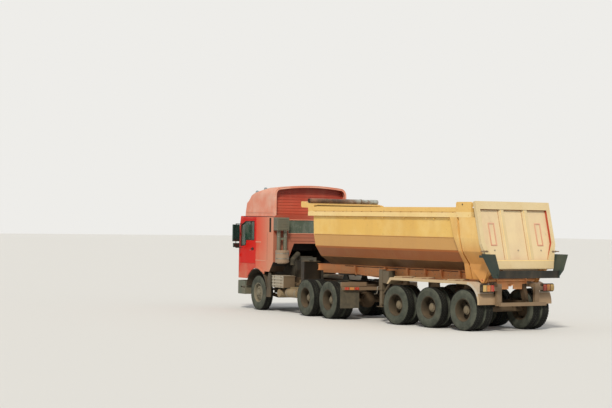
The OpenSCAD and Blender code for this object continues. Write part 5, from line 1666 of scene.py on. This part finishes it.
@dataclass
class ChassisTrim:
    """Bolts, pipes, straps and plates of both frames."""

    rail_y: float = 0.49
    rail_rows: Flat = (1.26, 1.36)
    bolt_step: float = 0.27
    axle_xs: Point = (0.0, 1.35, 2.70)
    spring: Flat = (0.425, 0.535)
    pipe_lines: tuple[tuple[Point, ...], ...] = (
        ((5.9, 0.505, 1.47), (4.2, 0.505, 1.462), (2.2, 0.505, 1.468), (0.2, 0.505, 1.464),
         (-0.25, 0.46, 1.4)),
        ((5.9, 0.503, 1.224), (4.1, 0.503, 1.216), (2.0, 0.503, 1.222), (0.3, 0.503, 1.218)))
    crank_x: float = 3.76
    crank: tuple[Flat, ...] = ((0.93, 0.98), (1.02, 0.98), (1.03, 0.95), (1.03, 0.78), (1.06, 0.77),
                               (1.13, 0.77))
    tank_axes: tuple[float, ...] = (1.0, 0.69)
    filler: Point = (1.39, 0.7, 1.552)

    def trailer(self) -> None:
        """Fit bolts, air pipes, U-bolts and the legs' crank on the trailer."""
        places = [(0.1 + self.bolt_step * i, self.rail_y, z) for i in range(20) for z in self.rail_rows]
        TRAILER_FRAME.add(studs("trailer_bolts", "+y", places, 0.012, 0.009, True), "zinc", "trailer_orange")
        pipes = []
        for line in self.pipe_lines:
            pipes.append(pipe("air", list(line), 0.009, 2))
            pipes.append(pipe("air", [other_side(point) for point in line], 0.009, 2))
        TRAILER_FRAME.add(smooth(join(pipes, "trailer_air_pipes")), "black_trim", "dark_steel")
        bows = []
        near, far = self.spring
        for x in (axle + side for axle in self.axle_xs for side in (-0.09, 0.09)):
            bows += [((x, y, 0.56), (x, y, 0.79)) for y in self.spring]
            bows.append(((x, near, 0.79), (x, far, 0.79)))
        TRAILER_FRAME.add(rods("axle_u_bolts", bows, 0.011, True, 8), "chassis_rust", "chassis_rust")
        crank = pipe("leg_crank", [(self.crank_x, y, z) for y, z in self.crank], 0.012, 3)
        TRAILER_FRAME.add(smooth(crank), "zinc", "grey_steel")

    def tractor(self) -> None:
        """Fit bolts, straps, ribs and the filler cap on the tractor."""
        places = [(-1.25 + 0.24 * i, 0.425, z) for i in range(15) for z in (0.83, 0.96)]
        TRACTOR_FRAME.add(studs("tractor_bolts", "+y", places, 0.012, 0.009, True), "zinc", "chassis_rust")
        rings = []
        for y in self.tank_axes:
            for x in (1.62, 2.12):
                ring = hoop("strap", (0.1305, 0.1345), (0.0, 0.035), 32)
                rings.append(moved(ring, shift(x, y, 0.595) @ turn(-90.0, "Z")))
        TRACTOR_FRAME.add(smooth(join(rings, "air_tank_straps")), "zinc", "grey_steel")
        straps = []
        for x in (1.85, 2.65):
            straps += [((x, -1.196, 0.58), (x + 0.045, -1.188, 1.06)),
                       ((x, -1.13, 1.1195), (x + 0.045, -0.60, 1.1245))]
        TRACTOR_FRAME.add(boxes("fuel_tank_straps", straps, 0.002), "black_trim", "dark_steel")
        ribs = [((x, 0.775, 1.0895), (x + 0.05, 1.165, 1.098)) for x in (2.33, 2.57, 2.81)]
        ribs += [((2.27, 1.17, z), (2.95, 1.198, z + 0.036)) for z in (0.80, 0.89, 0.98)]
        TRACTOR_FRAME.add(boxes("battery_lid_ribs", ribs, 0.003), "lid_silver", "tank_brown")
        places = [(x, 1.19, z) for x in (2.27, 2.95) for z in (0.77, 1.02)]
        TRACTOR_FRAME.add(studs("battery_box_bolts", "+y", places, 0.012, 0.008), "zinc", "tank_brown")
        cap = lathe("cap", [(0.0, 0.03), (0.05, 0.03), (0.055, 0.024), (0.055, 0.0), (0.0, 0.0)], 24, False)
        moved(cap, upright(*self.filler)).name = "hydraulic_cap"
        TRACTOR_FRAME.add(smooth(cap, 30.0), "black_trim", "tank_brown")
        edge = boxes("hydraulic_top_edge", [((1.288, 0.423, 1.54), (1.492, 0.982, 1.554))], 0.004)
        TRACTOR_FRAME.add(edge, "tank_beige", "tank_brown")

    def build(self) -> None:
        """Make all of it."""
        self.trailer()
        self.tractor()
        log.info("trimmed the frames")


# Trim of the cab


@dataclass
class CabTrim:
    """Gaskets, mouldings, vents, wipers, grille bars, clamps and mirror glass."""

    window: tuple[Flat, ...] = ((4.10, 2.12), (4.66, 2.12), (4.70, 1.96), (5.04, 1.93), (5.02, 2.56),
                                (4.71, 2.68), (4.10, 2.69))
    side: float = 1.2455
    rear: float = 2.80
    front: float = 5.29
    rear_window: tuple[Flat, ...] = ((-0.76, 2.335), (0.76, 2.335), (0.76, 2.744), (-0.76, 2.744))
    roof_edge: tuple[Flat, ...] = ((1.209, 3.42), (1.209, 3.58), (1.13, 3.69), (0.95, 3.718), (0.5, 3.757))
    mirror_x: Flat = (4.9475, 4.951)
    wheel: Flat = (3.93, 0.53)
    arch: float = 0.752
    liner: Flat = (0.705, 0.728)
    liner_foot: float = 0.72
    hose_line: tuple[Point, ...] = ((3.13, 0.24, 1.56), (3.0, 0.32, 1.72), (2.71, 0.48, 1.715),
                                    (2.5, 0.74, 1.56), (2.47, 0.76, 1.40))

    def doors(self) -> None:
        """Line each door's window, glaze its mirrors and add its handle's cup and lock."""
        cup = [(0.0, 0.004), (0.046, 0.004), (0.052, 0.0), (0.0, 0.0)]
        lock = [(0.0, 0.008), (0.013, 0.008), (0.016, 0.004), (0.016, 0.0), (0.0, 0.0)]
        back, face = self.mirror_x
        for side, sign in SIDES:
            body = "door_" + side
            mount = Mount(body, TRACTOR)
            lines = chain([(x, sign * self.side, z) for x, z in self.window])
            bar_y = sign * (self.side - 0.012)
            lines.append(((4.36, bar_y, 2.13), (4.36, bar_y, 2.68)))
            mount.add(rods(body + "_gasket", lines, 0.011, False, 8), "gasket", "dark_steel")
            panes = []
            for y, foot, top in ((1.545, 2.075, 2.565), (1.525, 1.892, 1.998)):
                ys = sorted((sign * 1.345, sign * y))
                panes.append(((back, ys[0], foot), (face, ys[1], top)))
            mount.add(boxes(body + "_mirror_glass", panes, 0.002), "mirror_glass", "glass")
            for word, profile, steps, finish, place in (
                ("_handle_cup", cup, 28, "black_trim", (4.20, 1.2452, 1.85)),
                ("_lock", lock, 20, "zinc", (4.36, 1.245, 1.80)),
            ):
                item = sided(lathe(body + word, profile, steps, False), sign)
                moved(item, shift(place[0], sign * place[1], place[2]))
                mount.add(smooth(item), finish, "dark_steel")

    def sides(self) -> None:
        """Add the mouldings, seams and vent fins behind the doors."""
        pale = [((3.62, 1.244, 2.05), (3.985, 1.256, 2.08)), ((3.30, 1.244, 1.50), (3.985, 1.254, 1.524))]
        CAB.add(boxes("side_mouldings", pale, 0.004, True), "trim_pale", "cab_red")
        seams = [((3.203, 1.2442, 1.53), (3.211, 1.2462, 2.36)),
                 ((2.805, 1.2442, 2.826), (4.86, 1.2475, 2.842))]
        CAB.add(boxes("side_seams", seams, 0.0, True), "black_trim", "dark_steel")
        fins = [((2.962, 1.214, 2.385 + 0.029 * i), (3.068, 1.238, 2.393 + 0.029 * i)) for i in range(14)]
        CAB.add(boxes("side_vent_fins", fins, 0.001, True), "black_trim", "dark_steel")

    def back(self) -> None:
        """Frame the rear window, rib the roof's recess and line the roof's rear edge."""
        frame_line = chain([(self.rear - 0.002, y, z) for y, z in self.rear_window])
        CAB.add(rods("rear_window_gasket", frame_line, 0.012, False, 8), "trim_pale", "dark_steel")
        ribs = [((2.958, -1.10, 2.93 + 0.085 * i), (2.972, 1.10, 2.942 + 0.085 * i)) for i in range(8)]
        CAB.add(boxes("roof_recess_ribs", ribs, 0.003), "roof_red", "cab_red")
        x = self.rear + 0.002
        right = [(x, -y, z) for y, z in self.roof_edge]
        line = right + [(x, 0.0, 3.774)] + [other_side(point) for point in reversed(right)]
        CAB.add(smooth(pipe("roof_rear_edge", line, 0.009, 2)), "trim_pale", "cab_red")

    def arch_panel(self, side: float, first: float, last: float, corners: list[Flat]) -> Object:
        """Fill the cab's side between the arch and three corners.

        Args:
            side: 1 on the left, -1 on the right.
            first: Where on the arch it starts, in degrees.
            last: Where on the arch it ends.
            corners: Its other corners as x and z.

        Returns:
            The new object.
        """
        x, z = self.wheel
        angles = [math.radians(first + (last - first) * i / 12) for i in range(13)]
        outline = [(x + self.arch * math.cos(a), z + self.arch * math.sin(a)) for a in angles] + corners
        return side_plate("panel", side * 1.208, side * 1.2445, outline)

    def arches(self) -> None:
        """Close the panels round the arches over the steered wheels and line the arches."""
        panels = []
        for first, last, corners in ((34, 86, [(4.0, 1.30), (4.535, 1.30), (4.625, 0.95)]),
                                     (130, 94, [(3.87, 1.30), (3.415, 1.30), (3.375, 1.19)])):
            panels += [self.arch_panel(side, first, last, corners) for side in (1.0, -1.0)]
        CAB.add(join(panels, "arch_panels"), "cab_red", "cab_red")
        liners = []
        x, z = self.wheel
        for side in (1.0, -1.0):
            item = moved(sided(hoop("liner", self.liner, (0.80, 1.236), 72), side), shift(x, 0.0, z))
            edit_all()
            bpy.ops.mesh.bisect(plane_co=(x, 0.0, self.liner_foot), plane_no=(0.0, 0.0, 1.0), use_fill=True,
                                clear_inner=True)
            bpy.ops.object.mode_set(mode="OBJECT")
            liners.append(item)
        CAB.add(smooth(join(liners, "arch_liners")), "black_trim", "dark_steel")

    def nose(self) -> None:
        """Add the wipers and grille bars."""
        x = self.front
        arms = [((x + 0.002, y, 1.77), (x - 0.009, y - 0.5, 1.975)) for y in (0.55, -0.35)]
        blades = [((x - 0.007, y - 0.15, 1.90), (x - 0.015, y - 0.80, 2.03)) for y in (0.55, -0.15)]
        CAB.add(rods("wipers", arms + blades, 0.009, False, 8), "black_trim", "dark_steel")
        bars = [((x - 0.02, -0.69, 1.107 + 0.11 * i), (x - 0.004, 0.69, 1.121 + 0.11 * i)) for i in range(4)]
        CAB.add(boxes("grille_bars", bars, 0.003), "zinc", "grey_steel")

    def intake(self) -> None:
        """Clamp the intake's pipes and hoop the canister."""
        rings = [moved(hoop("clamp", (0.0562, 0.0605), (0.0, 0.018), 28), upright(2.67, y, z))
                 for y in (0.92, 1.132) for z in (1.90, 2.24, 2.39)]
        rings += [moved(hoop("hoop", (0.2052, 0.2095), (0.0, 0.03), 48), upright(2.58, 1.05, z))
                  for z in (1.58, 1.73)]
        CAB.add(smooth(join(rings, "intake_clamps")), "zinc", "grey_steel")

    def engine(self) -> None:
        """Ring the air hose and cover the engine's valves."""
        line = [Vector(point) for point in self.hose_line]
        rings = []
        for start, end in zip(line, line[1:]):
            count = max(2, int((end - start).length / 0.045))
            facing = (end - start).to_track_quat("Y", "Z").to_matrix().to_4x4()
            for i in range(1, count):
                ring = lathe("ring", [(0.070, -0.009), (0.079, -0.004), (0.079, 0.004), (0.070, 0.009)], 24)
                rings.append(moved(ring, shift(*start.lerp(end, i / count)) @ facing))
        TRACTOR_FRAME.add(smooth(join(rings, "air_hose_rings")), "hose", "dark_steel")
        covers = [((3.12 + 0.26 * i, -0.26, 1.615), (3.34 + 0.26 * i, 0.20, 1.655)) for i in range(6)]
        TRACTOR_FRAME.add(boxes("rocker_covers", covers, 0.02), "grey_steel", "grey_steel")

    def build(self) -> None:
        """Make all of it."""
        self.doors()
        self.sides()
        self.back()
        self.arches()
        self.nose()
        self.intake()
        self.engine()
        log.info("trimmed the cab")


@dataclass
class CabInside:
    """Seats, bunk, dashboard and steering wheel that stand for the plain ones."""

    seat_y: Flat = (0.67, 1.15)
    floor: float = 1.36
    wheel_at: Point = (4.65, 0.88, 1.94)
    wheel_radius: float = 0.23
    cuts: int = 15

    def pad(self, name: str, low: Point, high: Point, crown: float, channels: int) -> Object:
        """Make a stuffed pad with pulled-in edges and sewn channels.

        Args:
            name: The pad's name.
            low: Its lowest corner.
            high: Its highest corner.
            crown: How far the middles bulge out.
            channels: Number of sewn channels across it.

        Returns:
            The new object.
        """
        made = box(name, low, high, 0.0)
        edit_all()
        bpy.ops.mesh.subdivide(number_cuts=self.cuts)
        bpy.ops.mesh.vertices_smooth(factor=0.5, repeat=5)
        bpy.ops.object.mode_set(mode="OBJECT")
        middle = (Vector(low) + Vector(high)) / 2.0
        half = (Vector(high) - Vector(low)) / 2.0
        for vertex in made.data.vertices:
            share = [(vertex.co[i] - middle[i]) / half[i] for i in range(3)]
            seam = 0.35 * abs(math.sin(math.pi * channels * (share[1] + 1.0) / 2.0)) + 0.65
            for i in range(3):
                bulge = (1.0 - share[(i + 1) % 3] ** 2) * (1.0 - share[(i + 2) % 3] ** 2)
                vertex.co[i] += share[i] * crown * (bulge * seam - 0.35)
        return smooth(made, 60.0)

    def seats(self) -> None:
        """Make both seats' cushions, backs, headrests and feet."""
        for side, sign in SIDES:
            low, high = sorted(sign * y for y in self.seat_y)
            parts = (("cushion", (4.005, low, 1.565), (4.515, high, 1.69), 0.03, 4),
                     ("back", (3.955, low, 1.68), (4.085, high, 2.22), 0.025, 4),
                     ("headrest", (3.965, low + 0.11, 2.215), (4.065, high - 0.11, 2.335), 0.02, 1))
            for name, *shape in parts:
                CAB.add(self.pad(f"seat_{name}_{side}", *shape), "seat_cloth", "interior")
        feet = [((4.05, 0.72, self.floor + 0.0004), (4.48, 1.10, 1.50)),
                ((4.00, 0.69, 1.49), (4.50, 1.13, 1.575)), ((3.945, 0.70, 1.50), (3.975, 1.12, 2.20))]
        CAB.add(boxes("seat_frames", feet, 0.012, True), "black_trim", "interior")

    def bunk(self) -> None:
        """Make the bunk's mattress on its board."""
        mattress = self.pad("bunk_mattress", (2.85, -1.18, 2.10), (3.43, 1.18, 2.19), 0.02, 12)
        CAB.add(mattress, "bunk_cloth", "interior")
        board = box("bunk_board", (2.842, -1.19, 2.072), (3.44, 1.19, 2.104), 0.006)
        CAB.add(board, "interior", "interior", ("cab_interior",))

    def dash(self) -> None:
        """Make the dashboard with its binnacle and vents."""
        outline = [(4.79, 1.852), (5.13, 1.852), (5.13, 1.90), (4.98, 1.958), (4.83, 1.955), (4.775, 1.93)]
        body = side_plate("dash", -1.18, 1.18, outline, 0.012)
        hood = side_plate("binnacle", 0.70, 1.06, [(4.80, 1.94), (5.0, 1.94), (4.98, 1.99), (4.86, 2.02)],
                          0.012)
        vents = boxes("vents", [((4.768, y, 1.88), (4.780, y + 0.12, 1.93))
                                for y in (-1.1, -0.5, 0.2, 0.42)], 0.003)
        CAB.add(smooth(join([body, hood, vents], "dashboard")), "interior", "interior")

    def steering_wheel(self) -> None:
        """Make the steering wheel on its column."""
        radius = self.wheel_radius
        clear_selection()
        bpy.ops.mesh.primitive_torus_add(major_radius=radius, minor_radius=0.015, major_segments=48,
                                         minor_segments=12)
        parts = [bpy.context.object, rod("hub", (0.0, 0.0, -0.03), (0.0, 0.0, 0.012), 0.055, 24, 0.006),
                 rod("column", (0.0, 0.0, -0.26), (0.0, 0.0, -0.02), 0.028, 16)]
        for angle in (math.pi * (0.25 + 0.5 * i) for i in range(4)):
            x, y = math.cos(angle), math.sin(angle)
            start, end = (0.03 * x, 0.03 * y, -0.01), ((radius - 0.005) * x, (radius - 0.005) * y, 0.0)
            parts.append(rod("spoke", start, end, 0.011, 10, 0.0))
        wheel = moved(join(parts, "steering_wheel"), shift(*self.wheel_at) @ turn(-25.0, "Y"))
        CAB.add(smooth(wheel), "black_trim", "interior")

    def build(self) -> None:
        """Make all of it."""
        self.seats()
        self.bunk()
        self.dash()
        self.steering_wheel()
        log.info("furnished the cab")


@dataclass
class RolledSheet:
    """The body's cover sheet, rolled up on the hood and held by two straps."""

    axis: Flat = (6.68, 3.3043)
    half: float = 1.24
    inner: float = 0.012
    outer: float = 0.064
    turns: int = 30
    points: int = 22
    steps: int = 26
    strap_y: float = 0.62

    def swell(self, y: float, angle: float) -> float:
        """Give how far the roll swells at a place.

        Args:
            y: The place along the roll.
            angle: The place round the roll.

        Returns:
            A factor for the radius.
        """
        waves = 0.045 * math.sin(5.3 * y + 2.0 * angle) + 0.03 * math.sin(13.0 * y + angle + 1.0)
        return 1.0 + waves - 0.03 * math.exp(-((abs(y) - self.strap_y) / 0.05) ** 2)

    def wind(self) -> Object:
        """Draw the roll's spiral, push it along and let it swell.

        Returns:
            The new object.
        """
        count = self.turns * self.points
        line = []
        for i in range(count + 1):
            angle = math.tau * i / self.points
            radius = self.inner + (self.outer - self.inner) * i / count
            line.append((radius * math.cos(angle), -self.half, radius * math.sin(angle)))
        made = trace(line, False)
        step = (0.0, 2.0 * self.half / self.steps, 0.0)
        for _ in range(self.steps):
            bpy.ops.mesh.extrude_region_move(TRANSFORM_OT_translate={"value": step})
        bpy.ops.object.mode_set(mode="OBJECT")
        made.name = "rolled_sheet"
        for vertex in made.data.vertices:
            factor = self.swell(vertex.co.y, math.atan2(vertex.co.z, vertex.co.x))
            vertex.co.x *= factor
            vertex.co.z *= factor
        return smooth(made, 60.0)

    def build(self) -> None:
        """Make the roll and its straps."""
        made = self.wind()
        x, z = self.axis
        BODY.add(moved(made, shift(x, 0.0, z)), "canvas", "tarp", ("tarp_roll",))
        straps = []
        for y in (-self.strap_y, self.strap_y):
            straps.append(moved(hoop("strap", (0.0655, 0.0675), (-0.02, 0.02), 40), shift(x, y, z)))
            straps.append(box("buckle", (x - 0.02, y - 0.026, z + 0.062), (x + 0.02, y + 0.026, z + 0.0685),
                              0.003))
        BODY.add(smooth(join(straps, "sheet_straps")), "webbing", "tarp")


# Stage, lights and camera


def stand(name: str, data: bpy.types.ID) -> Object:
    """Put a lamp or camera into the scene.

    Args:
        name: The object's name.
        data: The lamp's or camera's settings.

    Returns:
        The new object.
    """
    item = bpy.data.objects.new(name, data)
    bpy.context.scene.collection.objects.link(item)
    return item


@dataclass(frozen=True)
class Sun:
    """A far lamp with soft shadows."""

    name: str
    turn: Point
    energy: float
    spread: float
    colour: Colour

    def build(self) -> None:
        """Hang the lamp."""
        data = bpy.data.lights.new(self.name, "SUN")
        data.energy = self.energy
        data.angle = math.radians(self.spread)
        data.color = self.colour
        stand(self.name, data).rotation_euler = [math.radians(value) for value in self.turn]


@dataclass
class Studio:
    """Plain pale floor, soft lights and the photo's camera."""

    camera_place: Point = (-37.588, 30.276, 2.746)
    camera_turn: Point = (90.5435, -0.8642, -126.1176)
    lens: float = 100.0
    floor_colour: Colour = (0.70, 0.69, 0.66)
    seen: tuple[Colour, float] = ((0.90, 0.89, 0.86), 0.95)
    light: tuple[Colour, float] = ((0.93, 0.96, 1.0), 0.5)
    suns: tuple[Sun, ...] = (Sun("key", (48.0, 8.0, -142.0), 2.75, 10.0, (1.0, 0.94, 0.84)),
                             Sun("fill", (62.0, 0.0, -75.0), 0.35, 60.0, (0.9, 0.95, 1.0)))

    def floor(self) -> None:
        """Lay the floor far out round the lorry."""
        clear_selection()
        bpy.ops.mesh.primitive_plane_add(size=400.0, location=(0.0, 0.0, 0.0))
        item = bpy.context.object
        item.name = "floor"
        item.data.materials.append(Graph("floor_pale").surface(self.floor_colour, 0.95,
                                                               Specular_IOR_Level=0.1))

    def world(self) -> None:
        """Set an even sky that the camera, metal and glass see as pale."""
        made = bpy.data.worlds.new("sky")
        bpy.context.scene.world = made
        made.use_nodes = True
        nodes, links = made.node_tree.nodes, made.node_tree.links
        nodes.clear()
        out = nodes.new("ShaderNodeOutputWorld")
        mix = nodes.new("ShaderNodeMixShader")
        for index, (colour, strength) in ((1, self.light), (2, self.seen)):
            sky = nodes.new("ShaderNodeBackground")
            sky.inputs["Color"].default_value = (*colour, 1.0)
            sky.inputs["Strength"].default_value = strength
            links.new(sky.outputs[0], mix.inputs[index])
        rays = nodes.new("ShaderNodeLightPath")
        shown = rays.outputs["Is Camera Ray"]
        for ray in ("Is Glossy Ray", "Is Transmission Ray"):
            either = nodes.new("ShaderNodeMath")
            either.operation = "MAXIMUM"
            links.new(shown, either.inputs[0])
            links.new(rays.outputs[ray], either.inputs[1])
            shown = either.outputs[0]
        links.new(shown, mix.inputs[0])
        links.new(mix.outputs[0], out.inputs[0])

    def camera(self) -> None:
        """Place the camera where the photo was taken."""
        data = bpy.data.cameras.new("photo_camera")
        data.lens = self.lens
        data.sensor_width = 36.0
        data.clip_end = 500.0
        item = stand("photo_camera", data)
        item.location = self.camera_place
        item.rotation_euler = [math.radians(value) for value in self.camera_turn]
        bpy.context.scene.camera = item

    def build(self) -> None:
        """Set up the whole studio."""
        self.floor()
        self.world()
        for sun in self.suns:
            sun.build()
        self.camera()
        bpy.context.scene.view_settings.view_transform = "Standard"
        log.info("studio ready")


def main() -> None:
    """Build every piece in order."""
    Studio().build()
    CarriedNodes().paint()
    RunningGear().build()
    BodyTrim().build()
    GateTrim().build()
    LampSet().build()
    ChassisTrim().build()
    CabTrim().build()
    CabInside().build()
    RolledSheet().build()


if __name__ == "__main__":
    main()
